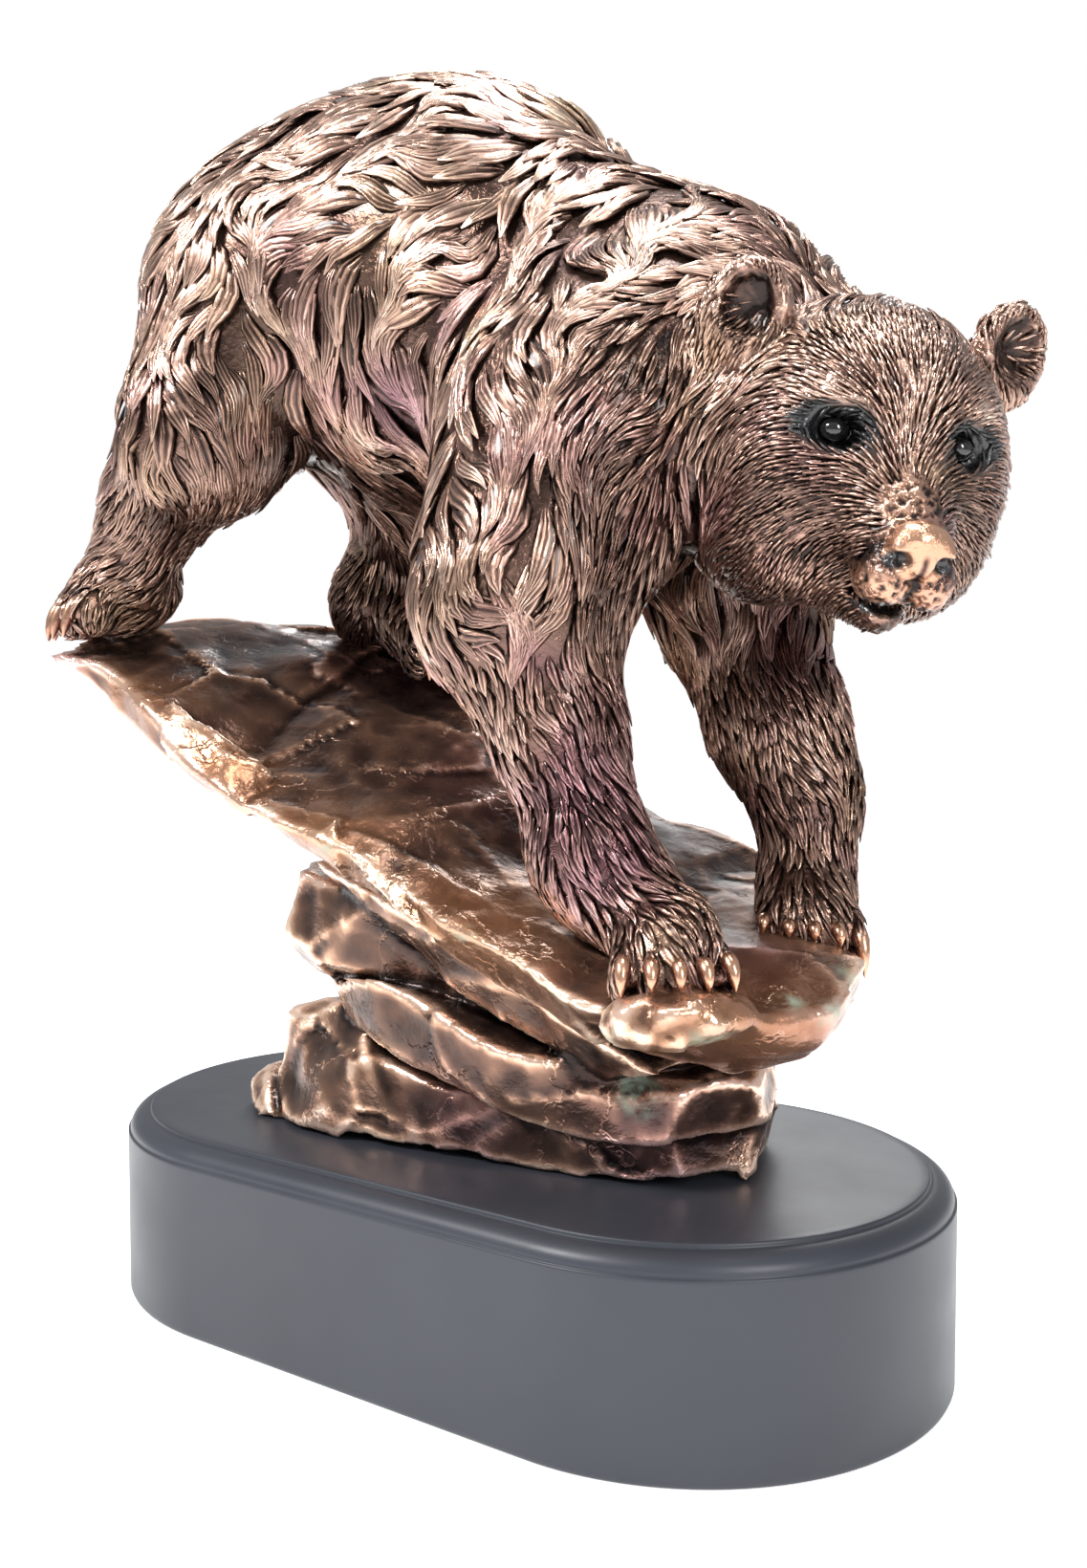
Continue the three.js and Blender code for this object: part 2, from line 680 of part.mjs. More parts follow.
function casting() {
  let cast = skin(bodyField, [-112, -66, 44], [112, 62, 244], BODY_FACET);
  cast = cast.add(skin(headField, [38, -60, 96], [132, 46, 182], HEAD_FACET));
  for (const limb of Object.values(LIMBS)) {
    const lo = limb.paw.map((v) => v - 24);
    const hi = limb.paw.map((v) => v + 24);
    cast = cast.add(skin((p) => pawField(p, limb), lo, hi, PAW_FACET));
    for (let k = 0; k < CLAWS_PER_PAW; k += 1) cast = cast.add(claw(limb, k));
  }
  for (const side of [-1, 1]) {
    cast = cast.add(ear(side));
    cast = cast.subtract(ball(onHead(46.2, side * 3.7, -9.6), [2.6, 1.8, 1.4], HEAD_FRAME, 6, 4));
    cast = cast.add(ball(onHead(19.1, side * 11.3, 3.7), [2.9, 2.9, 2.9], HEAD_FRAME, 6, 4));
  }
  cast = cast.subtract(ball(onHead(36, 0, -19.8), [10.5, 8.4, 1.3], HEAD_FRAME, 10, 4));
  for (const tuft of coatLocks()) cast = cast.add(tuft);
  return filled(cast.add(rocks()));
}

const copper = new THREE.MeshStandardMaterial({ color: 0x8a5640, roughness: 0.32, metalness: 1 });
const black = new THREE.MeshStandardMaterial({ color: 0x1d1d1f, roughness: 0.45, metalness: 0 });

const group = new THREE.Group();
group.add(meshOf('plinth', plinth(), black));
const figure = meshOf('bear_on_rocks', casting(), copper);
figure.position.z = PLINTH_HEIGHT + SEAT_GAP;
group.add(figure);

export default group;
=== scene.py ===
import bpy
import bmesh
import numpy as np
from math import radians
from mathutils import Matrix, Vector


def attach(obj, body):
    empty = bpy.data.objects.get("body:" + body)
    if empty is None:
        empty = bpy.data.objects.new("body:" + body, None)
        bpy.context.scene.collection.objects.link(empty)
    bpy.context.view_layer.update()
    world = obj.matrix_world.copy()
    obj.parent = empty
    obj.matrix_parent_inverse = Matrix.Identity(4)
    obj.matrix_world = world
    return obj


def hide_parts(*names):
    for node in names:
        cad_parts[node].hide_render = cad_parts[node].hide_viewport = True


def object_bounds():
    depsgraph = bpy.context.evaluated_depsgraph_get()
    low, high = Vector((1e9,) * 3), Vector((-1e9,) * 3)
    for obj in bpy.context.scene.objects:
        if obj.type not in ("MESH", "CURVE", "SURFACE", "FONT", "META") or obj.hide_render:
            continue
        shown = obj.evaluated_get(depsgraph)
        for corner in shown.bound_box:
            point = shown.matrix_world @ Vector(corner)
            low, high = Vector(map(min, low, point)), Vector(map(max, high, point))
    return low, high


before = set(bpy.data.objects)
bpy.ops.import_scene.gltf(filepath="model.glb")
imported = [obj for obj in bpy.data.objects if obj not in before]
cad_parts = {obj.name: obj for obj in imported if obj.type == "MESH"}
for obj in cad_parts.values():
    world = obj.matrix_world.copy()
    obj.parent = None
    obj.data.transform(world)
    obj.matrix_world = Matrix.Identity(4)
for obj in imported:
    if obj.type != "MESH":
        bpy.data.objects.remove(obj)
cad_low, cad_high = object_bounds()
rng = np.random.default_rng(11)
MM = 0.001
LIFT = 42.2     # height of the figure's own zero above the floor, in millimetres


# Distance functions, in millimetres

def share(x):
    return np.clip(x, 0, 1)


def norm(v):
    return np.linalg.norm(v, axis=1)


def away(p, at, size):
    """Distance from a place, counted in a size for each axis."""
    return norm((p - np.array(at, float)) / np.array(size, float))


def smin(a, b, k):
    h = share(0.5 + 0.5 * (b - a) / k)
    return b * (1 - h) + a * h - k * h * (1 - h)


def smax(a, b, k):
    return -smin(-a, -b, k)


def union(parts, k):
    out = None
    for d in parts:
        out = d if out is None else smin(out, d, k)
    return out


def cone(p, a, b, ra, rb):
    """A capsule with a radius of its own at each end."""
    a = np.array(a, float)
    ba = np.array(b, float) - a
    l2 = ba @ ba
    rr = ra - rb
    a2 = l2 - rr * rr
    il2 = 1 / l2
    pa = p - a
    y = pa @ ba
    z = y - l2
    x = pa * l2 - y[:, None] * ba
    x2 = (x * x).sum(1)
    y2 = y * y * l2
    z2 = z * z * l2
    k = np.sign(rr) * rr * rr * x2
    out = (np.sqrt(x2 * a2 * il2) + y * rr) * il2 - ra
    c1 = np.sign(z) * a2 * z2 > k
    out = np.where(c1, np.sqrt(x2 + z2) * il2 - rb, out)
    c2 = (~c1) & (np.sign(y) * a2 * y2 < k)
    return np.where(c2, np.sqrt(x2 + y2) * il2 - ra, out)


def turn(yaw, pitch, roll=0.0):
    """Rows are the forward, left and up axes of a turned frame."""
    y, p, r = np.radians([yaw, pitch, roll])
    f = np.array([np.cos(y) * np.cos(p), np.sin(y) * np.cos(p), -np.sin(p)])
    side = np.array([-np.sin(y), np.cos(y), 0])
    u = np.cross(f, side)
    return np.stack([f, np.cos(r) * side - np.sin(r) * u, np.sin(r) * side + np.cos(r) * u])


def ovoid(p, c, r, m=None):
    d = p - np.array(c, float)
    if m is not None:
        d = d @ m.T
    r = np.array(r, float)
    k0 = norm(d / r)
    k1 = norm(d / (r * r))
    return k0 * (k0 - 1) / np.maximum(k1, 1e-9)


# Centre, radii and softness of each mass of the trunk
TRUNK = [((-45, 1, 193), (44, 38.3, 39.4), 20), ((-12, 1, 183), (46, 40.3, 46.5), 20),
         ((31, 0.5, 158), (37.5, 36.8, 40.4), 20), ((35.5, 1, 170), (26, 20, 23), 12)]
NECK = ((50, 2, 159), (72, 8, 144), 31, 24)
NECK_SOFT = 12
LIMB_SOFT = 9
LIMBS = {
    "right_hind": dict(
        joints=[(-56, -14.5, 185.5), (-61.5, -33, 154), (-81, -30.5, 141), (-94, -30, 124)],
        radii=[31.5, 17.5, 11, 10], paw=(-94, -31, 119), aim=(-122, 12), size=(15, 14.5, 9)),
    "left_hind": dict(
        joints=[(-49, 20, 176), (-37.5, 24.5, 146.5), (-54, 27, 127), (-58, 21, 119)],
        radii=[33, 21.5, 13, 12.5], paw=(-39, 18, 111), aim=(-15, 21), size=(18, 12.5, 9)),
    "right_fore": dict(
        joints=[(35.5, -20, 148.5), (29, -36, 114.5), (39, -36, 87.5), (46, -36, 66),
                (50, -34, 59.5)],
        radii=[30, 19.5, 11, 10, 10.5], paw=(62.8, -37.2, 52.0), aim=(-48, 22),
        size=(15.0, 11.0, 8.8)),
    "left_fore": dict(
        joints=[(44, 19, 145.5), (46, 21, 114.5), (57, 17.5, 89), (64, 17, 75), (65, 15.5, 63)],
        radii=[27.5, 17, 13, 9.6, 9.8], paw=(68, 9, 53.3), aim=(-57, 28), size=(14.5, 11, 9)),
}
TOES = 5
HEAD_AT = np.array([85.0, -7.6, 141.2])
HEAD_TURN = turn(-46.3, 16, 7.1)
EYE_AT = np.array([19.9, 11.2, 3.4])
# Stretch, radius, depth and thickness
LID_RINGS = [(1.35, 2.15, 1.0, 0.5), (1.45, 3.2, 0, 0.4), (1.5, 4.3, -0.9, 0.4)]


def trunk_field(p):
    out = None
    for c, r, k in TRUNK:
        e = ovoid(p, c, r)
        out = e if out is None else smin(out, e, k)
    return smin(out, cone(p, *NECK), NECK_SOFT)


def toe(name, k):
    """Centre, radii and turn of one toe pad."""
    limb = LIMBS[name]
    m = turn(*limb["aim"])
    s = limb["size"]
    t = (k - 2) / 2
    at = np.array([s[0] * (0.70 - 0.16 * t * t), t * s[1] * 0.74, -s[2] * 0.22]) @ m
    return (np.array(limb["paw"], float) + at, (s[0] * 0.42, s[1] * 0.235, s[2] * 0.66),
            turn(limb["aim"][0] + t * 14, limb["aim"][1] + 8))


def limb_cones(p, limb, first=0):
    j, r = limb["joints"], limb["radii"]
    return [cone(p, j[i], j[i + 1], r[i], r[i + 1]) for i in range(first, len(j) - 1)]


def limb_field(p, name):
    limb = LIMBS[name]
    s = limb["size"]
    paw = ovoid(p, limb["paw"], (s[0] * 0.92, s[1] * 0.92, s[2]), turn(*limb["aim"]))
    out = smin(union(limb_cones(p, limb), 8), paw, 6)
    return union([out] + [ovoid(p, *toe(name, k)) for k in range(TOES)], 1.3)


def head_coords(p):
    return (p - HEAD_AT) @ HEAD_TURN.T


def head_field(p, fine=True):
    """The head in its own axes: x out of the nose, y to its left, z up."""
    q = head_coords(p)
    o = ovoid(q, (-5, 0, 2), (30, 26.5, 24))
    o = smin(o, ovoid(q, (7, 0, 9), (17, 15, 12)), 8)
    for s in (-1, 1):
        o = smin(o, ovoid(q, (5, s * 12, -8), (20, 13.5, 18.5)), 8)
        o = smin(o, ovoid(q, (-10, s * 15, -8), (17, 14.5, 22)), 8)
        o = smin(o, ovoid(q, (3, s * 12, -19), (17, 10, 11), turn(0, -12)), 7)
    # muzzle and chin, then lips, brows and eye sockets, then the mouth
    o = smin(o, cone(q, (14, 0, -4), (34.6, 0, -13.6), 14.5, 7.3), 6)
    o = smin(o, cone(q, (12, 0, -18), (31.0, 0, -24.6), 11.5, 3.4), 3)
    for s in (-1, 1):
        o = smin(o, ovoid(q, (36.2, s * 3.7, -17.2), (7.2, 4.9, 5.6)), 2.5)
        o = smin(o, cone(q, (20, s * 5, 8.6), (14.5, s * 15.5, 9.6), 2.6, 2.2), 3.5)
        o = smax(o, -ovoid(q, (23, s * 11.6, 3.6), (4.1, 4.6, 3.2)), 2.0)
    o = smax(o, -ovoid(q, (35, 0, -22.9), (11.0, 7.6, 1.5), turn(0, 10)), 0.6)
    if not fine:
        return o
    # nose pad
    o = smin(o, ovoid(q, (40.8, 0, -10.3), (4.5, 5.3, 3.5)), 0.6)
    o = smin(o, ovoid(q, (41.8, 0, -13.0), (3.4, 3.2, 3.6)), 1.2)
    for s in (-1, 1):
        o = smin(o, ovoid(q, (41.8, s * 3.9, -12.0), (2.9, 2.0, 2.6)), 0.9)
    for s in (-1, 1):
        # rings of the lids
        lid = (q - EYE_AT * [1, s, 1]) @ turn(s * 28, 0).T
        for wide, r, deep, thick in LID_RINGS:
            round_eye = np.hypot(lid[:, 1] / wide, lid[:, 2]) - r
            o = smin(o, np.sqrt(round_eye ** 2 + (lid[:, 0] - deep) ** 2) - thick, 0.5)
        # nostril with its slot, then ear and its cup
        nostril_turn = turn(s * 24, 0, s * 14)
        o = smax(o, -ovoid(q, (44.2, s * 4.1, -13.6), (2.8, 1.5, 1.25), nostril_turn), 0.4)
        o = smax(o, -ovoid(q, (42.2, s * 5.8, -12.8), (2.4, 1.0, 0.7)), 0.3)
        ear_turn = turn(s * 22, 0)
        e = ovoid(q, (-0.5, s * 24.8, 19.3), (4.6, 8.2, 9.6), ear_turn)
        e = smax(e, -ovoid(q, (4.2, s * 26.0, 21.2), (4.8, 5.6, 5.7), ear_turn), 1.2)
        o = smin(o, e, 2.2)
    return o


def figure_field(p, fine=True):
    out = union([trunk_field(p)] + [limb_field(p, name) for name in LIMBS], LIMB_SOFT)
    return smin(out, head_field(p, fine), 4)


def form(p):
    """The bear without the finer parts of its face."""
    return figure_field(p, fine=False)


def gradient(f, p, e=0.35):
    g = np.zeros_like(p)
    for d in np.array([[1, -1, -1], [-1, -1, 1], [-1, 1, -1], [1, 1, 1]], float):
        g += d * f(p + d * e)[:, None]
    return g / np.maximum(norm(g), 1e-9)[:, None]


def surface_nets(f, lo, hi, cell):
    """Closed quad mesh of the zero level. Only blocks near the surface are sampled finely."""
    lo = np.array(lo, float)
    step = 4
    n = np.ceil((np.array(hi) - lo) / (cell * step)).astype(int) * step + 1
    nb = (n - 1) // step
    ax = [lo[i] + cell * step * (np.arange(nb[i]) + 0.5) for i in range(3)]
    mid = f(np.stack(np.meshgrid(*ax, indexing="ij"), -1).reshape(-1, 3)).reshape(nb)
    v = np.where(mid < 0, -1.0, 1.0)
    for axis in range(3):
        v = np.repeat(v, step, axis)
    v = np.pad(v, ((0, 1), (0, 1), (0, 1)), mode="edge")
    need = np.zeros(n, bool)
    for i, j, k in np.argwhere(np.abs(mid) < cell * step * 1.35) * step:
        need[i:i + step + 1, j:j + step + 1, k:k + step + 1] = True
    idx = np.argwhere(need)
    pts = lo + cell * idx
    some = np.array_split(pts, max(1, len(pts) // 200000))
    v[tuple(idx.T)] = np.concatenate([f(c) for c in some])
    s = v < 0
    corners = [(a, b, d) for a in (0, 1) for b in (0, 1) for d in (0, 1)]
    c = sum(s[x:n[0] - 1 + x, y:n[1] - 1 + y, z:n[2] - 1 + z].astype(int) for x, y, z in corners)
    act = (c > 0) & (c < 8)
    ids = -np.ones(n - 1, int)
    ids[act] = np.arange(act.sum())
    cells = np.argwhere(act)
    acc = np.zeros((len(cells), 3))
    cnt = np.zeros(len(cells))
    for a in corners:
        for k in range(3):
            if a[k]:
                continue
            b = np.array(a)
            b[k] = 1
            va, vb = v[tuple((cells + a).T)], v[tuple((cells + b).T)]
            m = (va < 0) != (vb < 0)
            q = np.array(a, float)[None] + 0 * acc
            q[:, k] += np.where(m, va / (va - vb + 1e-30), 0)
            acc += np.where(m[:, None], q, 0)
            cnt += m
    verts = lo + cell * (cells + acc / cnt[:, None])
    quads = []
    for k in range(3):
        i, j = [(1, 2), (2, 0), (0, 1)][k]
        a = s[tuple(slice(1, n[q] - 1) if q != k else slice(0, n[q] - 1) for q in range(3))]
        b = s[tuple(slice(1, n[q] - 1) if q != k else slice(1, n[q]) for q in range(3))]
        e = np.argwhere(a != b)
        inside = a[tuple(e.T)]
        e[:, [i, j]] += 1
        four = []
        for di, dj in ((1, 1), (0, 1), (0, 0), (1, 0)):
            w = e.copy()
            w[:, i] -= di
            w[:, j] -= dj
            four.append(ids[tuple(w.T)])
        q4 = np.stack(four, 1)
        q4[~inside] = q4[~inside][:, ::-1]
        quads.append(q4)
    return verts, np.concatenate(quads)


# Mesh helpers

def mesh_object(name, verts, faces, uv=None, tint=None):
    """verts in metres; faces one (n,3) or (n,4) array or a list of such; uv and tint per vertex."""
    arrays = faces if isinstance(faces, list) else [faces]
    me = bpy.data.meshes.new(name)
    margin = 2e-5 * (name != "plinth_body")
    verts = np.clip(verts, np.array(cad_low) + margin, np.array(cad_high) - margin)
    loops = np.concatenate([a.reshape(-1) for a in arrays]).astype(np.int32)
    sizes = np.concatenate([np.full(len(a), a.shape[1]) for a in arrays]).astype(np.int32)
    starts = np.concatenate([[0], np.cumsum(sizes)[:-1]]).astype(np.int32)
    me.vertices.add(len(verts))
    me.vertices.foreach_set("co", np.asarray(verts, np.float32).reshape(-1))
    me.loops.add(len(loops))
    me.loops.foreach_set("vertex_index", loops)
    me.polygons.add(len(sizes))
    me.polygons.foreach_set("loop_start", starts)
    me.polygons.foreach_set("loop_total", sizes)
    me.polygons.foreach_set("use_smooth", np.full(len(sizes), True))
    me.update(calc_edges=True)
    if uv is not None:
        layer = me.uv_layers.new(name="UVMap")
        layer.data.foreach_set("uv", np.asarray(uv, np.float32)[loops].reshape(-1))
    if tint is not None:
        att = me.color_attributes.new("Relief", "FLOAT_COLOR", "POINT")
        att.data.foreach_set("color", np.asarray(tint, np.float32).reshape(-1))
    me.validate()
    ob = bpy.data.objects.new(name, me)
    bpy.context.scene.collection.objects.link(ob)
    return ob


def dress(piece, look, node="bear_on_rocks"):
    """Material, body and replaced node of a finished piece."""
    piece.data.materials.append(look)
    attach(piece, "root")
    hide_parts(node)


def neighbours_mean(verts, quads):
    """Mean of the neighbouring vertices over the edges of the faces."""
    a = quads.reshape(-1)
    b = np.roll(quads, -1, axis=1).reshape(-1)
    acc = np.zeros_like(verts)
    cnt = np.zeros(len(verts))
    for i, j in ((a, b), (b, a)):
        for k in range(3):
            acc[:, k] += np.bincount(i, weights=verts[j, k], minlength=len(verts))
        cnt += np.bincount(i, minlength=len(verts))
    return acc / np.maximum(cnt, 1)[:, None]


def vertex_normals(verts, quads):
    a, b, c, d = (verts[quads[:, k]] for k in range(4))
    n = np.cross(b - a, c - a) + np.cross(c - a, d - a)
    out = np.zeros_like(verts)
    for k in range(4):
        for q in range(3):
            out[:, q] += np.bincount(quads[:, k], weights=n[:, q], minlength=len(verts))
    return out / np.maximum(norm(out), 1e-12)[:, None]


def waves(p, seed, size, count=14):
    """Smooth pseudo-noise of about that size, from a few seeded plane waves, in about -1..1."""
    r = np.random.default_rng(seed)
    k = r.normal(size=(count, 3))
    k = k / norm(k)[:, None]
    k = k * (2 * np.pi / size) * r.uniform(0.6, 1.5, (count, 1))
    ph = r.uniform(0, 2 * np.pi, count)
    out = np.zeros(len(p))
    for i in range(count):
        out += np.sin(p @ k[i] + ph[i])
    return out / np.sqrt(count / 2) / 1.6


# Materials

class Graph:
    """The nodes of one material. Its calls add a node and give its output socket."""

    def __init__(self, name):
        self.made = bpy.data.materials.new(name)
        self.made.use_nodes = True
        self.nt = self.made.node_tree
        self.pos = self.node("TexCoord").outputs["Object"]

    def put(self, sock, x):
        """Sets a socket to a number or a colour, or links it."""
        if isinstance(x, (int, float)):
            sock.default_value = x
        elif isinstance(x, tuple):
            sock.default_value = (*x, 1)[:len(sock.default_value)]
        else:
            self.nt.links.new(x, sock)

    def node(self, kind, *values, **settings):
        n = self.nt.nodes.new("ShaderNode" + kind)
        for k, v in settings.items():
            setattr(n, k, v)
        for sock, x in zip(n.inputs, values):
            self.put(sock, x)
        return n

    def named(self, kind, **values):
        n = self.nt.nodes.new("ShaderNode" + kind)
        for k, v in values.items():
            if v is not None:
                self.put(n.inputs[k], v)
        return n

    def shade(self, **looks):
        """Sets or links the shader's own sockets."""
        for k, v in looks.items():
            self.put(self.nt.nodes["Principled BSDF"].inputs[k.replace("_", " ")], v)
        return self.made

    def calc(self, op, a, b):
        return self.node("Math", a, b, operation=op).outputs[0]

    def add(self, a, b):
        return self.calc("ADD", a, b)

    def sub(self, a, b):
        return self.calc("SUBTRACT", a, b)

    def mul(self, a, b):
        return self.calc("MULTIPLY", a, b)

    def capped(self, a, b):
        return self.node("Math", a, b, operation="MULTIPLY", use_clamp=True).outputs[0]

    def about(self, value, size):
        """A noise of 0..1 as a swing of that size about 0."""
        return self.mul(self.sub(value, 0.5), size)

    def span(self, value, lo, hi, a=0.0, b=1.0):
        return self.node("MapRange", value, lo, hi, a, b).outputs[0]

    def noise(self, scale, detail=3.0, rough=0.55, at=None):
        at = self.pos if at is None else at
        return self.named("TexNoise", Vector=at, Scale=scale, Detail=detail,
                          Roughness=rough).outputs["Fac"]

    def shifted(self, shift):
        step = (shift, shift * 0.7, -shift)
        return self.node("VectorMath", self.pos, step, operation="ADD").outputs[0]

    def bump(self, height, strength, distance, normal=None):
        return self.named("Bump", Height=height, Strength=strength, Distance=distance,
                          Normal=normal).outputs["Normal"]

    def ramp(self, fac, stops):
        n = self.node("ValToRGB", fac)
        while len(n.color_ramp.elements) < len(stops):
            n.color_ramp.elements.new(0.5)
        for e, (place, col) in zip(n.color_ramp.elements, stops):
            e.position = place
            e.color = (*col, 1)
        return n.outputs[0]

    def mix(self, fac, a, b, kind="MIX"):
        n = self.node("Mix", fac, data_type="RGBA", blend_type=kind)
        self.put(n.inputs[6], a)
        self.put(n.inputs[7], b)
        return n.outputs[2]

    def relief(self):
        """The three channels of the mesh's own Relief colours."""
        att = self.node("Attribute", attribute_name="Relief")
        return list(self.node("SeparateColor", att.outputs["Color"]).outputs)[:3]

    def zone(self, spots):
        """1 near the given places, with a ragged edge."""
        ragged = self.about(self.noise(90.0, 2.0), 0.9)
        out = None
        for at, size in spots:
            far = self.node("VectorMath", self.pos, at, operation="DISTANCE").outputs["Value"]
            near = self.add(self.sub(1.25, self.calc("DIVIDE", far, size)), ragged)
            out = near if out is None else self.calc("MAXIMUM", out, near)
        return self.capped(out, 1.0)


# From groove to ridge
COPPER = [(0.0, (0.014, 0.008, 0.007)), (0.22, (0.082, 0.045, 0.034)),
          (0.46, (0.25, 0.144, 0.108)), (0.72, (0.62, 0.405, 0.312)), (1.0, (0.90, 0.71, 0.60))]
# From crevice to worn edge
STONE = [(0.0, (0.018, 0.011, 0.010)), (0.26, (0.080, 0.048, 0.038)), (0.48, (0.20, 0.115, 0.080)),
         (0.68, (0.50, 0.30, 0.20)), (0.90, (0.95, 0.69, 0.53))]
# Places in metres with their size: purple fur, warm rock, dull rock, dark rock
TINTED = [((0.048, -0.044, 0.122), 0.020), ((0.055, -0.042, 0.108), 0.014),
          ((0.070, 0.005, 0.150), 0.014), ((-0.005, -0.035, 0.196), 0.012),
          ((-0.012, -0.036, 0.186), 0.010)]
WARM = [((0.080, -0.035, 0.084), 0.026), ((0.030, -0.050, 0.096), 0.020),
        ((-0.010, -0.049, 0.110), 0.016), ((-0.040, -0.048, 0.122), 0.014),
        ((-0.070, -0.048, 0.138), 0.014), ((0.070, 0.010, 0.088), 0.020)]
DULL = [((0.050, -0.010, 0.100), 0.026), ((0.030, 0.010, 0.110), 0.026),
        ((-0.090, -0.010, 0.156), 0.018)]
SHADED = [((0.046, -0.004, 0.102), 0.026), ((0.030, 0.020, 0.112), 0.024),
          ((-0.012, -0.036, 0.070), 0.018), ((0.010, -0.034, 0.066), 0.037),
          ((0.045, -0.028, 0.062), 0.026), ((-0.070, -0.015, 0.156), 0.026),
          ((-0.030, 0.000, 0.146), 0.020)]


def fur_material(name, strands):
    """Dark in the grooves, bright on the ridges.

    Relief holds height (with painted light and shade on the locks), black (eye paint, and painted
    shade in the mouth and nostrils), and bare copper on the skin or a lock's own number.
    """
    g = Graph(name)
    height, black_paint_and_shade, own = g.relief()
    value = height
    if strands:
        uv = g.node("UVMap", uv_map="UVMap").outputs[0]
        along = g.named("Mapping", Vector=uv, Scale=(2.1, 0.10, 1.0)).outputs[0]
        fine = g.noise(1.0, 2.0, 0.6, at=along)
        value = g.add(height, g.about(fine, 0.42))
    value = g.add(value, g.about(g.noise(60.0, 3.0), 0.35))
    col = g.ramp(value, COPPER)
    purple = g.span(g.noise(46.0, 2.0), 0.54, 0.72)
    col = g.mix(g.mul(purple, 0.55), col, (0.86, 0.66, 0.92), "MULTIPLY")
    olive = g.span(g.noise(38.0, 2.0, at=g.shifted(5.1)), 0.52, 0.70)
    col = g.mix(g.mul(olive, 0.45), col, (0.92, 0.98, 0.70), "MULTIPLY")
    col = g.mix(g.mul(g.zone(TINTED), 0.75), col, (0.52, 0.34, 0.62), "MULTIPLY")
    if strands:
        nrm = g.bump(g.noise(900.0, 2.0), 0.12, 0.0004, g.bump(fine, 0.85, 0.0006))
    else:
        col = g.mix(g.mul(own, 0.88), col, (0.60, 0.315, 0.19))
        nrm = g.bump(g.noise(700.0, 3.0), 0.5, 0.0008)
    # black: eye paint, and painted shade in the mouth slit and nostrils
    return g.shade(Base_Color=g.mix(black_paint_and_shade, col, (0.006, 0.006, 0.007)), Normal=nrm,
                   Metallic=g.mul(g.sub(1.0, black_paint_and_shade), 0.92),
                   Roughness=g.span(g.noise(260.0, 2.0), 0.3, 0.7, 0.20, 0.37),
                   Coat_Weight=0.30, Coat_Roughness=0.12, Specular_IOR_Level=0.6)


def rock_material():
    """Glossy brown copper with bright worn edges and touches of verdigris and purple."""
    g = Graph("Copper_Rock")
    edge, green, violet = g.relief()
    value = g.add(edge, g.about(g.noise(38.0, 4.0, 0.55), 0.32))
    value = g.sub(value, g.mul(g.zone(SHADED), 0.19))
    # thin bright lines that wander over the faces
    wander = g.node("Math", g.sub(g.noise(70.0, 4.0, 0.6), 0.5), operation="ABSOLUTE").outputs[0]
    thin = g.mul(g.span(wander, 0.0, 0.018, 1.0, 0.0),
                 g.span(g.noise(45.0, 2.0, at=g.shifted(2.2)), 0.48, 0.60))
    col = g.ramp(g.add(value, g.mul(thin, 0.26)), STONE)
    col = g.mix(g.mul(g.zone(WARM), 0.72), col, (0.38, 0.18, 0.088))
    streak = g.span(g.noise(120.0, 4.0), 0.45, 0.75)
    col = g.mix(g.mul(streak, 0.18), col, (0.34, 0.15, 0.08))
    col = g.mix(g.mul(violet, 0.55), col, (0.50, 0.33, 0.62), "MULTIPLY")
    patch = g.capped(green, g.span(g.noise(240.0, 3.0), 0.40, 0.62))
    col = g.mix(g.mul(patch, 0.75), col, (0.26, 0.43, 0.34))
    dull = g.zone(DULL)
    rough = g.add(g.span(g.noise(160.0, 3.0), 0.3, 0.7, 0.17, 0.32), g.mul(dull, 0.40))
    nrm = g.bump(g.noise(130.0, 3.0, 0.45), 0.35, 0.0016)
    nrm = g.bump(g.noise(430.0, 3.0, 0.6), 0.25, 0.0008, nrm)
    nrm = g.bump(thin, 0.35, 0.0007, nrm)
    return g.shade(Base_Color=col, Roughness=g.add(rough, g.mul(patch, 0.3)),
                   Metallic=g.sub(0.72, g.mul(g.calc("MAXIMUM", patch, dull), 0.6)),
                   Normal=g.bump(g.noise(1500.0, 2.0), 0.10, 0.0003, nrm))


def satin_material():
    g = Graph("Satin_Black")
    col = g.ramp(g.noise(18.0), [(0.35, (0.028, 0.0315, 0.041)), (0.65, (0.034, 0.038, 0.048))])
    return g.shade(Base_Color=col, Roughness=g.span(g.noise(60.0), 0.3, 0.7, 0.36, 0.43),
                   Specular_IOR_Level=0.40, Normal=g.bump(g.noise(2200.0, 2.0), 0.12, 0.0001))


def claw_material():
    """Polished copper, dark purple where the Relief is low; on the claws the Relief carries painted
    light, brighter on their upper sides.
    """
    g = Graph("Copper_Bright")
    value = g.add(g.relief()[0], g.about(g.noise(400.0), 0.3))
    col = g.ramp(value, [(0.0, (0.022, 0.010, 0.011)), (0.45, (0.24, 0.115, 0.085)),
                         (1.0, (0.74, 0.43, 0.28))])
    return g.shade(Base_Color=col, Metallic=0.95,
                   Roughness=g.span(g.noise(500.0, 2.0), 0.3, 0.7, 0.20, 0.32),
                   Normal=g.bump(g.noise(1200.0, 2.0), 0.15, 0.0003))


def eye_material():
    g = Graph("Gloss_Black")
    col = g.ramp(g.noise(300.0, 2.0), [(0.3, (0.002, 0.002, 0.002)), (0.7, (0.010, 0.008, 0.008))])
    return g.shade(Base_Color=col, Roughness=0.06, Coat_Weight=0.6)


# Plinth

PLINTH_LENGTH = 200
PLINTH_WIDTH = 110.6
PLINTH_HEIGHT = 41.9
COVE_FOOT = 37.35       # where the rounded top edge starts
COVE_TOP = 41.0         # and where it ends, under the plateau's step
END_STEPS = 72


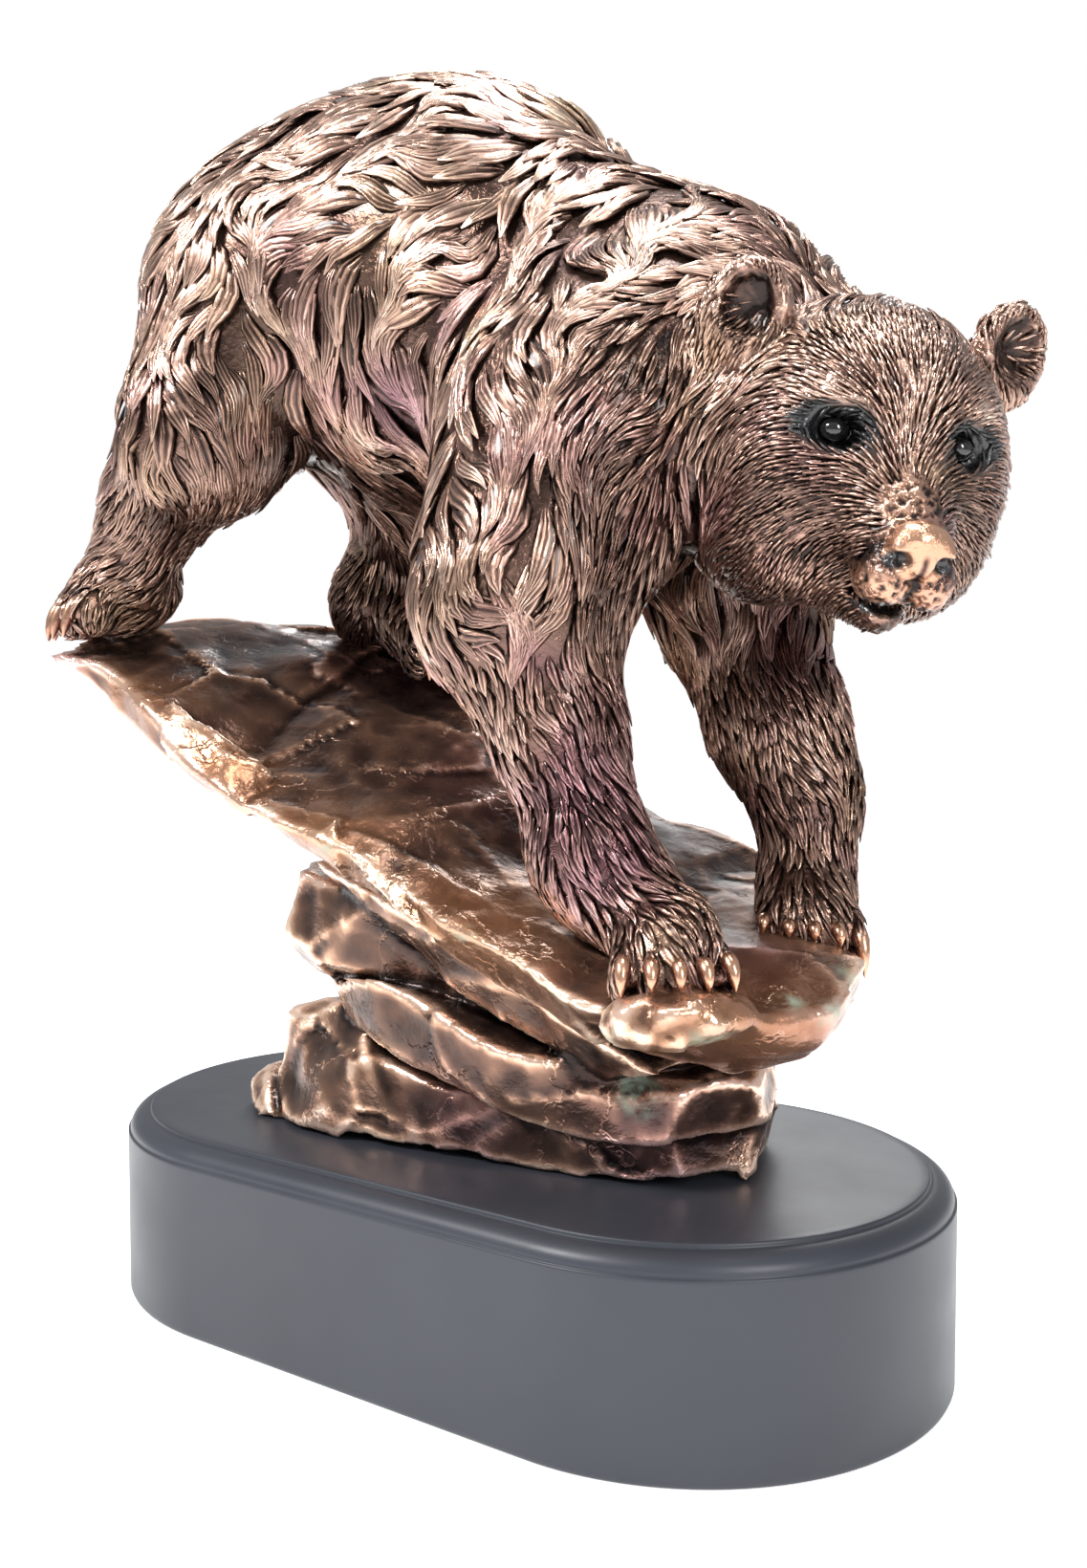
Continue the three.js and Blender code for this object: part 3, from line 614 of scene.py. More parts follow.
def stacked(name, stacks, lift=0.0, flip=False, tint=None):
    """One piece of closed stacks of rings, each with its first and last point, in millimetres."""
    verts, quads, tris = [], [], []
    for rings, first, last in stacks:
        base = len(verts)
        n = len(rings[0])
        i = np.arange(n)
        j = (i + 1) % n
        rows = base + n * np.arange(len(rings) - 1)[:, None]
        quads.append(np.stack([rows + i, rows + j, rows + n + j, rows + n + i], -1).reshape(-1, 4))
        end = base + (len(rings) - 1) * n
        pole = np.full(n, end + n)
        tris += [np.stack([pole, base + j, base + i], 1),
                 np.stack([pole + 1, end + i, end + j], 1)]
        verts += [v for ring in rings for v in ring] + [first, last]
    quads, tris = np.concatenate(quads), np.concatenate(tris)
    if flip:
        quads, tris = quads[:, ::-1], tris[:, ::-1]
    return mesh_object(name, (np.array(verts) + [0, 0, lift]) * MM, [quads, tris], tint=tint)


def stadium_ring(inset, z):
    r = PLINTH_WIDTH / 2 - inset
    straight = (PLINTH_LENGTH - PLINTH_WIDTH) / 2
    out = []
    for side in (1, -1):
        for i in range(END_STEPS + 1):
            a = np.pi * (i / END_STEPS - 0.5)
            out.append((side * (straight + r * np.cos(a)), side * r * np.sin(a), z))
    return out


def plinth():
    """Rings of inset and height: chamfered foot, wall, groove, rounded edge, plateau."""
    rows = [(4.0, 0.6), (1.4, 0.0), (0.8, 0.0), (0.25, 0.25), (0.0, 0.8), (0.0, 1.6)]
    rows += [(0.0, z) for z in np.linspace(8, 34, 5)]
    rows += [(0.0, 36.4), (0.0, 36.95), (0.12, 37.15), (0.42, 37.22), (0.52, COVE_FOOT)]
    for a in np.arange(1, 13) / 12 * np.pi / 2:
        rows.append((0.5 + 4.5 * (1 - np.cos(a)), COVE_FOOT + (COVE_TOP - COVE_FOOT) * np.sin(a)))
    rows += [(5.05, 41.05), (5.12, 41.3), (5.16, 41.6), (5.3, 41.82)]
    rows += [(inset, PLINTH_HEIGHT) for inset in (5.6, 7.5, 20)]
    rings = [stadium_ring(inset, z) for inset, z in rows]
    return stacked("plinth_body", [(rings, (0, 0, 0.6), (0, 0, PLINTH_HEIGHT))])


# Rocks: the same slabs as the solid, rounded and weathered

SLABS = {
    "ledge_tip": [
        (-106, -46, 107), (-110, -36, 110.5), (-97, -6, 116), (-88, 28, 115), (-55, 40, 110),
        (-50, 8, 108.5), (-86, -48, 103), (-72, -47, 99), (-58, -49, 89.5), (-40, -48, 76),
        (-86, -45, 93), (-65, -46, 82.5), (-42, -45, 72), (-94, -16, 98), (-72, 26, 84),
        (-45, 34, 72)],
    "ledge_middle": [
        (-60, 38, 109), (-52, 10, 108), (-30, 14, 101.5), (-16, 10, 95), (0, 40, 80), (8, 8, 80),
        (-44, -49, 77.5), (-26, -51, 71), (-22, -30, 80), (2, -51, 64.5), (24, -50, 55),
        (-40, -45, 72), (-24, -45, 65), (10, -45, 50), (-35, 32, 66), (20, 34, 50)],
    "ledge_front": [
        (-5, 36, 80), (13, 38, 71), (30, 34, 66), (48, 28, 58), (4, 4, 80), (30, 2, 64),
        (38, -14, 56),
        (-4, -51, 65), (14, -53, 58), (30, -53, 53), (52, -56, 43.5), (60, -10, 46),
        (12, -46, 50), (34, -46, 38), (55, -42, 30), (10, 30, 50), (48, 28, 32)],
    "ledge_nose": [
        (48, -55, 44.5), (60, -58, 42), (73, -55, 42.5), (84, -48, 42.5), (93.5, -27, 42.5),
        (89, -8, 45.5),
        (75, 15, 45.5), (60, 28, 51), (40, 20, 58), (74, -51, 38), (84, -41, 34), (91, -25, 35),
        (83, -21, 27.5), (68, -20, 23), (44, -40, 33), (74, 14, 34), (50, 28, 28)],
    "ledge_chip": [
        (-64, -50, 90), (-46, -52, 80), (-34, -52, 76), (-30, -50, 70), (-44, -44, 90),
        (-30, -40, 80),
        (-60, -42, 96), (-52, -46, 74), (-36, -40, 70)],
    "ledge_shelf": [
        (-2, -54, 63), (12, -55, 55), (22, -54, 50), (26, -48, 47), (-8, -46, 71), (10, -42, 66),
        (28, -42, 58), (6, -46, 54), (0, -40, 60)],
    "rear_ridge": [
        (2, 28, 73), (14, 38, 70.5), (30, 36, 67), (46, 28, 60), (54, 14, 50), (20, 12, 68),
        (20, 44, 50), (48, 36, 44), (20, 14, 50), (50, 8, 44)],
    "under_layer": [
        (-28, -38, 62), (8, -40, 50), (38, -38, 34), (62, -32, 26), (-30, 24, 60), (58, 24, 26),
        (-20, -32, 50), (14, -34, 34), (44, -30, 20), (-22, 26, 46), (52, 24, 18)],
    "left_block": [
        (-49, -15, 57), (-36, -31, 58), (-12, -36, 52), (-46, 20, 60), (20, -20, 52), (10, 24, 54),
        (-54, -14, 49), (-56.5, -14, 39), (-45, -15, 31.5), (-40, -32, 42), (-26, -34, 36),
        (-52, 18, 36), (16, -24, 30), (14, 26, 28)],
    "big_slab": [
        (-32, -24, 36), (-10, -36, 36), (26, -38, 28), (60, -22, 23), (66, -10, 20), (52, 30, 26),
        (-34, 28, 36), (-28, -25, 25), (-10, -33, 20), (17, -35, 14.5), (30, -33, 10), (46, -28, 9),
        (57, -25, 7.5), (67, -6, 10), (50, 28, 8), (-30, 26, 16)],
    "foot": [
        (-24, -27, 20), (20, -28, 13), (56, -21, 11), (64, -6, 12), (56, 24, 12), (-30, 28, 18),
        (-24, -30, 0), (-12, -33, 0), (10, -26, 0), (22, -21.5, 0), (41.5, -22, 0), (57, -20, 0),
        (64.5, -5, 0), (61, 10, 0), (46, 30, 0), (-6, 36, 0), (-36, 32, 0)],
    "boulder": [
        (-46, -22, 25), (-38, -19, 28), (-22, -24, 26), (-16, -29, 19), (-44, 12, 24),
        (-16, 14, 24),
        (-51, -26, 8), (-37, -33.4, 0), (-26, -34.5, 6), (-12, -33, 0), (-4, -31, 0), (-50, 14, 0),
        (-12, 22, 0), (-50, -24, 0)],
    "cobble": [
        (-56, -21, 11), (-60, -24, 6), (-50, -28, 8), (-50, -8, 12), (-61.6, -21.4, 0),
        (-52, -30, 0), (-44, -32, 0), (-42, -6, 0), (-60, -6, 0), (-58, -4, 6)],
}


def hull_planes(corners):
    """Outward planes of a convex hull."""
    bm = bmesh.new()
    for c in corners:
        bm.verts.new(c)
    bmesh.ops.convex_hull(bm, input=bm.verts)
    bm.normal_update()
    planes = []
    for f in bm.faces:
        n = np.array(f.normal)
        if np.linalg.norm(n) > 0.5:
            planes.append((*n, float(n @ np.array(f.verts[0].co))))
    bm.free()
    planes = np.array(planes)
    mid = np.mean(np.array(corners, float), axis=0)
    planes[planes[:, :3] @ mid > planes[:, 3]] *= -1
    return planes


PLANES = [hull_planes(c) for c in SLABS.values()]


def facets(p, seed, size):
    """Broken faces: how the nearest of jittered cell centres leans, and how far off it is."""
    q = p / size
    base = np.floor(q)
    table = np.random.default_rng(seed).uniform(0, 1, (997, 4))
    best = np.full(len(p), 9.0)
    lean = np.zeros(len(p))
    for step in np.ndindex(3, 3, 3):
        c = base + np.array(step) - 1
        t = table[(c @ [73, 151, 283]).astype(int) % 997]
        d = q - c - t[:, :3]
        dist = norm(d)
        closer = dist < best
        lean = np.where(closer, (d * (t[:, 1:] - 0.5)).sum(1) * 2, lean)
        best = np.where(closer, dist, best)
    return lean, best


def rock_field(p):
    bend = np.stack([waves(p, 5, 38), waves(p, 6, 38), waves(p, 7, 30) * 0.6], 1) * 1.2
    q = p + bend * share(p[:, 2:3] / 8)
    soft = 0.6 + 4.0 * np.exp(-away(p, (82, -44, 40), 20) ** 2)
    slabs = []
    for planes in PLANES:
        d = None
        for pl in planes:
            e = q @ pl[:3] - pl[3]
            d = e if d is None else smax(d, e, soft)
        slabs.append(d + 0.35)
    out = union(slabs, 1.2)
    lean, near = facets(q * np.array([0.72, 1, 1.3]), 3, 24.0)
    out = out + 1.1 * lean + 2.2 * (0.42 - near * near)
    lean, near = facets(q, 9, 9.5)
    out = out + 0.22 * lean + 0.35 * (0.35 - near * near) + 0.25 + 0.16 * waves(p, 12, 11)
    # the mound under the right fore claws
    lean, near = facets(q, 41, 6.5)
    mound = ovoid(q, (71.5, -46.5, 40.6), (8.0, 14.5, 5.2), turn(-46, 0)) + 0.4 * waves(p, 14, 7)
    out = smin(out, mound + 0.8 * lean - 1.9 * (0.30 - near * near), 1.2)
    return np.maximum(out, 0.02 - p[:, 2])


def colour_spots(p, spots):
    """1 at each place, down to 0 just past its radius."""
    out = np.zeros(len(p))
    for *at, r in spots:
        out = np.maximum(out, share(1.3 - away(p, at, r)))
    return out


def relief_of(verts, quads, sizes, passes):
    """How far each point stands out of a smoothed copy, at two sizes, against those sizes."""
    n = vertex_normals(verts, quads)
    out = np.zeros(len(verts))
    cur = verts
    for size, steps in zip(sizes, passes):
        for _ in range(steps):
            cur = neighbours_mean(cur, quads)
        out += ((verts - cur) * n).sum(1) / size
    return out


def figure(name, verts, quads, relief):
    """A mesh of the casting with its three channels of Relief."""
    tint = np.stack([*relief, np.ones(len(verts))], 1)
    return mesh_object(name, (verts + [0, 0, LIFT]) * MM, quads, tint=tint)


# Places and sizes in millimetres: calm worn faces, verdigris, purple
CALM = [(80, -40, 42, 16), (71, -48, 41, 13)]
GREEN = [(50, -56, 42, 4.5), (60, -57, 39, 5), (79, -48, 36, 5), (92, -26, 40, 4),
         (88, -12, 44, 3.5), (84, -30, 42, 3), (30, -53, 51, 3), (-8, -51, 66, 2.5),
         (-26, -50, 72, 2.5), (52, -28, 20, 4.5), (10, 32, 70, 7), (-30, 34, 90, 7),
         (70, 18, 40, 6)]
VIOLET = [(-98, -46, 98, 14), (50, -22, 6, 18), (10, -26, 10, 16), (70, -20, 46, 14)]


def rocks():
    verts, quads = surface_nets(rock_field, (-116, -64, -3), (100, 52, 124),
                                1.08)
    edge = relief_of(verts, quads, (0.15, 0.72), (3, 10))
    edge = share(0.385 + 0.26 * edge * (1 - 0.72 * colour_spots(verts, CALM)))
    violet = np.maximum(np.clip(waves(verts, 31, 60) * 0.8, 0, 0.7), colour_spots(verts, VIOLET))
    return figure("rock", verts, quads, (edge, colour_spots(verts, GREEN), violet))


# Bear

def halved(q):
    """Head coordinates with the right half turned over on to the left."""
    return np.stack([q[:, 0], np.abs(q[:, 1]), q[:, 2]], 1)


def spot(q, at, size, reach, soft):
    """1 in an ellipsoid on the left half of the head and in its mirror image, 0 from reach on."""
    return share((reach - away(halved(q), at, size)) / soft)


def leg_share(p):
    """0 on the trunk, 1 on the lower legs and paws."""
    out = np.zeros(len(p))
    for limb in LIMBS.values():
        paw = ovoid(p, limb["paw"], limb["size"], turn(*limb["aim"]))
        d = np.min([*limb_cones(p, limb, 1), paw], axis=0)
        drop = share((limb["joints"][1][2] + 6 - p[:, 2]) / 22)
        out = np.maximum(out, share(1.2 - d / 8) * drop)
    return out


def fur_depth(p):
    """How far the bare skin lies under the outer form, in millimetres."""
    q = head_coords(p)
    face = share((q[:, 0] + 22) / 34) * (norm(q) < 56)
    low = share((leg_share(p) - 0.35) * 2.2)
    ears = spot(q, (0, 24.8, 19.3), (8, 11, 12), 1.3, 0.3)
    return (1.5 - 1.2 * np.maximum(face, low * 0.7)) * (1 - ears)


def skin_field(p):
    return figure_field(p) + fur_depth(p)


def eye_paint(q, grain=0.0):
    """Black paint round the eyes, in head coordinates."""
    around = spot(q, (20.5, 11.2, 4.0), (11, 7.4, 4.3), 1.12 + grain, 0.2)
    return np.maximum(around, 0.7 * spot(q, (23.5, 6.6, 2.2), (6, 3.6, 3.0), 1.12 + grain, 0.3))


def face_tone(q):
    """Bright along the middle of the face and on the brows, dark on the cheeks."""
    across = np.abs(q[:, 1])
    near = share((60 - norm(q)) / 8) * share((q[:, 0] + 8) / 14)
    middle = share(1 - across / 10) * share((q[:, 2] + 8) / 8)
    cheek = share((2 - q[:, 2]) / 8) * share((across - 5) / 5)
    brow = spot(q, (17.5, 10.5, 9.4), (6, 7.6, 2.2), 1.3, 0.5)
    hollow = spot(q, (3.0, 25.8, 21.0), (3.4, 5.4, 5.6), 1.25, 0.4)
    shell = spot(q, (-0.5, 24.8, 20.3), (6, 9, 10), 1.3, 0.3)
    tone = 0.10 * middle + 0.30 * brow - 0.09 * cheek - 0.05 - 0.38 * hollow
    return near * tone + 0.10 * shell * (1 - hollow)


# Place, size and shift of painted light and shade: painted light along the back, painted shade on
# haunch, belly and inner legs
BODY_LIGHT_AND_SHADE = [(-70, -45, 160, 30, -0.16), (25, -12, 206, 24, 0.14), (-10, -12, 222, 26, 0.09),
         (-64, -36, 208, 28, 0.14), (33, -48, 118, 22, -0.07), (30, -44, 168, 22, 0.05),
         (48, 8, 118, 20, -0.26), (40, 0, 140, 18, -0.18), (-30, -5, 140, 24, -0.16),
         (66, -32, 132, 20, 0.05), (-44, 10, 130, 22, -0.14)]


# Painted light and shade laid into the coat's colour at a point
def body_painted_light(p):
    out = np.zeros(len(p))
    for *at, r, shift in BODY_LIGHT_AND_SHADE:
        out += shift * np.exp(-away(p, at, r) ** 2)
    return out


def bare(p):
    """True where the surface carries no strokes: nose, lips, eyes, inside of the ears."""
    q = head_coords(p)
    x, y, z = q.T
    front = (x > 37) | ((x > 31) & (z < -14.5)) | ((x > 33) & (np.abs(y) < 5))
    eye = away(halved(q), (21.5, 11.6, 3.4), (6, 4.6, 3.4)) < 1
    cup = away(halved(q), (2.0, 25.2, 19.6), (3.4, 6.6, 7.9)) < 1
    return (front & (norm(q) < 60)) | eye | cup


# Where strokes run on the visible side: place and direction
FLOW = np.array([
    (10, -17, 218, -0.80, -0.60, 0.09), (-4, -25, 219, -0.84, -0.51, -0.18),
    (-22, -32, 216, -0.94, -0.26, -0.21),
    (-44, -32, 215, -0.90, -0.27, -0.34), (-56, -37, 209, -0.21, -0.59, -0.78),
    (-62, -42, 199, 0.21, -0.44, -0.87),
    (9, -29, 205, -0.79, -0.56, -0.23), (-4, -36, 200, -0.95, -0.28, -0.14),
    (-23, -40, 197, -0.96, -0.10, -0.25),
    (-40, -42, 194, -0.52, -0.28, -0.80), (-48, -45, 181, -0.27, -0.10, -0.96),
    (-49, -46, 169, 0.56, 0.20, -0.80),
    (-70, -43, 186, 0.36, -0.31, -0.88), (-65, -48, 170, 0.19, -0.31, -0.93),
    (36, -39, 173, -0.96, 0.16, 0.24),
    (17, -36, 176, -1.00, -0.05, -0.05), (2, -38, 176, -0.68, -0.04, -0.74),
    (-2, -37, 168, 0.19, 0.22, -0.96),
    (-19, -41, 187, -0.79, -0.04, -0.61), (-31, -40, 177, -0.31, 0.17, -0.93),
    (-36, -37, 165, 0.12, 0.51, -0.85),
    (-14, -40, 179, -0.52, 0.07, -0.85), (-20, -37, 166, 0.10, 0.36, -0.93),
    (-19, -30, 154, 0.16, 0.58, -0.80),
    (40, -43, 168, 0.69, -0.35, -0.63), (14, -38, 167, -0.31, -0.14, -0.94),
    (10, -38, 155, 0.57, -0.46, -0.68),
    (31, -44, 165, 0.13, -0.56, -0.82), (30, -49, 152, 0.36, -0.23, -0.90),
    (43, -49, 151, -0.11, -0.13, -0.99),
    (42, -50, 137, -0.48, -0.23, -0.85), (32, -22, 195, 0.27, -0.58, -0.77),
    (40, -20, 193, 0.46, -0.54, -0.71),
    (46, -16, 192, 0.52, -0.59, -0.62), (40, -33, 179, 0.49, -0.54, -0.68),
    (53, -34, 171, 0.40, -0.42, -0.81),
    (67, -29, 155, -0.77, 0.13, -0.63), (71, -30, 146, -0.51, -0.01, -0.86),
    (61, -34, 143, -0.45, -0.43, -0.78),
    (72, -32, 134, -0.52, 0.36, -0.77), (59, -22, 125, -0.76, 0.40, -0.51),
    (78, -32, 123, -0.45, 0.58, -0.68),
    (56, -42, 151, -0.33, -0.40, -0.85), (51, -46, 139, -0.39, -0.24, -0.89),
    (54, -42, 134, -0.38, -0.24, -0.89),
    (44, -51, 124, -0.22, -0.31, -0.92), (51, -43, 121, -0.22, -0.23, -0.95),
    (-11, -20, 142, -0.09, 0.80, -0.59),
    (-34, -20, 148, 0.52, 0.59, -0.61), (-49, -48, 156, -0.16, -0.14, -0.98),
    (-60, -52, 153, -0.47, 0.01, -0.88),
    (-44, -42, 157, 0.02, 0.19, -0.98), (-76, -44, 141, -0.73, 0.31, -0.60),
    (-57, -46, 141, -0.77, 0.31, -0.56),
    (39, -55, 114, 0.04, 0.06, -1.00), (45, -50, 110, 0.02, 0.21, -0.98),
    (38, -51, 97, 0.08, 0.34, -0.94),
    (48, -45, 90, 0.26, 0.19, -0.95), (44, -47, 83, 0.20, 0.19, -0.96),
    (54, -41, 75, 0.46, -0.03, -0.89),
    (53, -45, 66, 0.56, 0.25, -0.79), (67, -8, 183, -0.71, -0.56, 0.43),
    (51, -10, 193, -0.87, -0.44, 0.24),
    (33, -9, 203, -0.81, -0.13, 0.57), (-86, -20, 190, 0.0, -0.2, -1.0),
    (-88, 0, 185, 0.0, 0.0, -1.0),
    (-20, 0, 232, -1.0, 0.0, 0.0), (-60, 0, 228, -0.95, 0.0, -0.3), (20, 0, 212, -0.95, 0.0, 0.3),
    (75, 10, 178, -0.8, 0.4, 0.2), (60, 20, 165, -0.3, 0.6, -0.7), (85, 15, 135, -0.3, 0.5, -0.8)])
# The same in head coordinates: down the middle, then for each side
HEAD_FLOW = [((16, 0, 14), (-0.6, 0, 1)), ((4, 0, 21), (-1, 0, 0.5)), ((-12, 0, 24), (-1, 0, 0)),
             ((24, 0, 5), (-0.4, 0, 1))]
SIDE_FLOW = [((16, 6, 13), (-0.45, 0.8, 0.45)), ((6, 13, 17), (-0.5, 0.85, 0.15)),
             ((18, 16, 8), (-0.7, 0.6, 0.1)), ((12, 22, 2), (-0.8, 0.4, -0.3)),
             ((30, 9, -6), (-0.9, 0.4, -0.25)), ((22, 16, -8), (-0.85, 0.4, -0.5)),
             ((12, 22, -12), (-0.7, 0.3, -0.75)), ((0, 27, -8), (-0.8, 0.25, -0.6)),
             ((-4, 26, -20), (-0.5, 0.1, -0.9)), ((20, 10, -22), (-0.7, 0.3, -0.6)),
             ((-8, 20, 20), (-0.7, 0.6, -0.1)), ((-14, 24, 6), (-0.9, 0.2, -0.5))]


def flow_anchors():
    """FLOW and its mirror image on the far side, the limbs from joint to joint, the head."""
    flip = [1, -1, 1]
    twin = FLOW[FLOW[:, 1] < -12]
    twin = twin[((twin[:, 2] > 118) | (twin[:, 0] < 0)) & (twin[:, 0] < 58)]
    pts = [*FLOW[:, :3], *(twin[:, :3] * flip + [0, 2, 0])]
    dirs = [*FLOW[:, 3:], *(twin[:, 3:] * flip)]
    for limb in LIMBS.values():
        j = np.array(limb["joints"], float)
        for a, b in zip(j[1:], j[2:]):
            pts += [(a + b) / 2, b]
            dirs += [b - a, b - a]
        ahead = turn(*limb["aim"])[0]
        pts.append(np.array(limb["paw"]) + ahead * 4)
        dirs.append(ahead + [0, 0, -0.25])
    head = [(np.array(at), np.array(d)) for at, d in HEAD_FLOW]
    for s in (-1, 1):
        head += [(np.array(at) * [1, s, 1], np.array(d) * [1, s, 1]) for at, d in SIDE_FLOW]
        # outwards round the ear
        for a in np.radians(np.arange(0, 360, 40)):
            out = np.array([0.25, np.cos(a), np.sin(a)])
            head.append((np.array([1.5, s * 25.2, 19.8]) + out * [2, 7.0, 8.0], out))
    for at, d in head:
        pts.append(HEAD_AT + at @ HEAD_TURN)
        dirs.append(d @ HEAD_TURN)
    dirs = np.array(dirs)
    return np.array(pts), dirs / norm(dirs)[:, None]


ANCHORS, HEADINGS = flow_anchors()


def flow(p, n, swing):
    """Direction of the coat along the surface, bent to and fro in waves."""
    d2 = (p * p).sum(1)[:, None] + (ANCHORS * ANCHORS).sum(1)[None] - 2 * p @ ANCHORS.T
    d2 = np.maximum(d2, 0)
    tight = 9.0 + 5.0 * share(norm(head_coords(p)) / 45 - 0.6)
    w = np.exp(-d2 / (2 * tight[:, None] ** 2)) + 1e-4 / (d2 + 30)
    d = along(w @ HEADINGS, n)
    a = swing * (0.85 * waves(p, 21, 24) + 0.35 * waves(p, 22, 12))
    return d * np.cos(a)[:, None] + np.cross(n, d) * np.sin(a)[:, None]


def along(d, n):
    """Directions laid into the surface with those normals."""
    d = d - n * (d * n).sum(1, keepdims=True)
    return d / np.maximum(norm(d), 1e-9)[:, None]


def lattice(p, cell, seed):
    """Smooth random values of that grain, 0..1."""
    q = p / cell
    i = np.floor(q).astype(np.int64)
    f = q - i
    f = f * f * (3 - 2 * f)
    size = 8191
    table = np.random.default_rng(seed).uniform(0, 1, size)
    out = np.zeros(len(p))
    for step in np.ndindex(2, 2, 2):
        h = ((i + step) @ [7901, 3571, 1279] + seed) % size
        out += table[h] * np.where(step, f, 1 - f).prod(1)
    return out


def streaks(p, n, cell, length, seed, swing):
    """Short carved strokes along the coat: grain smeared along the flow, about -1..1."""
    reach = 6
    out = lattice(p, cell, seed)
    for sign in (-1, 1):
        q = p.copy()
        for _ in range(reach):
            q = q + sign * flow(q, n, swing) * (length / reach / 2)[:, None]
            out += lattice(q, cell, seed)
    out = out / (2 * reach + 1) - 0.5
    return np.clip(out / 0.13, -1.6, 1.6)


def trace(seeds, length, swing, steps, surface):
    """Paths that follow the coat over the surface: points, directions and normals."""
    p = seeds.copy()
    path, dirs, norms = [], [], []
    for _ in range(steps + 1):
        n = gradient(surface, p)
        p = p - n * surface(p)[:, None]
        p = p - n * surface(p)[:, None]
        d = flow(p, n, swing)
        if dirs:
            d = along(d * 0.55 + dirs[-1] * 0.45, n)
        path.append(p)
        dirs.append(d)
        norms.append(n)
        p = p + d * (length / steps)[:, None]
    return np.stack(path, 1), np.stack(dirs, 1), np.stack(norms, 1)


def spread(cands, normals, length, width, limit):
    """Keeps candidates at even distances, wide along the coat and narrow across it."""
    d = flow(cands, normals, 0)
    side = np.cross(normals, d)
    keep = []
    kp = np.empty((limit, 3))
    for i in range(len(cands)):
        m = len(keep)
        if m >= limit:
            break
        if m:
            v = kp[:m] - cands[i]
            e = (v @ d[i] / (0.43 * length[i])) ** 2 + (v @ side[i] / (0.74 * width[i])) ** 2
            e += (v @ normals[i] / width[i]) ** 2
            if e.min() < 1:
                continue
        kp[m] = cands[i]
        keep.append(i)
    return np.array(keep)


def ribbons(name, seeds, length, width, depth, swing, ridges, steps, lift, surface=form):
    """Closed crowned strips with strands along them, one piece."""
    path, dirs, norms = trace(seeds, length, swing, steps, surface)
    count = len(seeds)
    own = rng.uniform(0, 1, count)
    q = head_coords(seeds)
    # tone: each lock's random tone, the face's tones, and painted light and shade on the body
    tone = 0.11 * waves(seeds, 51, 15) + 0.08 * (own - 0.5) + face_tone(q) + body_painted_light(seeds)
    proud = rng.normal(0, 0.16, count) + 0.5 * (own > 0.90)
    curl = rng.uniform(-1, 1, count)
    top = 2 * ridges + 1        # points across the crown; one more lies under it
    ring = top + 1
    verts = np.zeros((count, steps + 1, ring, 3))
    uv = np.zeros((count, steps + 1, ring, 2))
    tint = np.zeros((count, steps + 1, ring, 4))
    tint[:, :, :top, 1] = eye_paint(q)[:, None, None]
    tint[..., 2] = own[:, None, None]
    tint[..., 3] = 1
    uv[..., 0] = own[:, None, None] * 400
    for i in range(steps + 1):
        s = i / steps
        shape = 0.42 + 0.58 * np.sin(min(1, s / 0.38) * np.pi / 2)
        shape *= 1 - max(0, (s - 0.45) / 0.55) ** 1.7
        half = width / 2 * max(shape, 0.05)
        d, n = dirs[:, i], norms[:, i]
        side = np.cross(n, d)
        rise = -depth - 0.25 + (depth + lift + 0.25) * (1 - (1 - s) ** 1.6) ** 0.9
        rise = rise + proud * s + 0.20 * np.sin(np.pi * s) * depth
        bend = curl * 0.10 * width * np.sin(s * np.pi * 1.6)
        mid = path[:, i] + n * rise[:, None] + side * bend[:, None]
        amp = np.minimum(width / ridges * 0.36, 0.62) * (0.35 + 0.65 * shape)
        uv[:, i, :, 1] = (s * length + own * 90)[:, None]
        for k, u in enumerate(np.linspace(-1, 1, top)):
            ridge = k % 2
            drop = -0.20 * half * u ** 2 + amp * ridge
            verts[:, i, k] = mid + side * (half * u)[:, None] + n * drop[:, None]
            uv[:, i, k, 0] += u * width / 2
            shade = 0.15 + 0.50 * ridge + 0.32 * (s - 0.35) - 0.12 * abs(u) * (1 - ridge)
            tint[:, i, k, 0] = share(shade + tone)
        verts[:, i, top] = mid - n * np.minimum(0.40 * half + 0.12, 0.9)[:, None]
    verts[..., 2] += LIFT
    base = (np.arange(count) * (steps + 1) * ring)[:, None, None]
    rows = base + (np.arange(steps) * ring)[:, None]
    a = rows + np.arange(ring)
    b = rows + (np.arange(ring) + 1) % ring
    quads = np.stack([a, b, b + ring, a + ring], -1).reshape(-1, 4)[:, ::-1]
    base = base[:, 0, 0]
    end = base + steps * ring
    fan = []
    for k in range(1, ring - 1):
        fan.append(np.stack([base, base + k, base + k + 1], 1))
        fan.append(np.stack([end, end + k + 1, end + k], 1))
    return mesh_object(name, verts.reshape(-1, 3) * MM, [quads, np.concatenate(fan)],
                       uv=uv.reshape(-1, 2), tint=tint.reshape(-1, 4))


def surface_samples(verts, quads, count, weight):
    """Random points on the quads, more where the weight is large."""
    a, b, c, d = (verts[quads[:, k]] for k in range(4))
    area = norm(np.cross(b - a, c - a)) + norm(np.cross(c - a, d - a))
    w = area * weight((a + b + c + d) / 4)
    pick = rng.choice(len(quads), size=count, p=w / w.sum())
    s = rng.uniform(0, 1, (count, 1))
    t = rng.uniform(0, 1, (count, 1))
    return (a[pick] * (1 - s) + b[pick] * s) * (1 - t) + (d[pick] * (1 - s) + c[pick] * s) * t


def rock_top(x, y, z):
    """Height of the rock under a point, looked for downwards from it."""
    line = np.array([(x, y, z + 3 - 0.25 * k) for k in range(60)])
    inside = np.nonzero(rock_field(line) < 0)[0]
    return line[inside[0], 2] if len(inside) else z - 12


CLAW_RADII = [1.3, 1.55, 1.65, 1.6, 1.4, 1.0, 0.2]


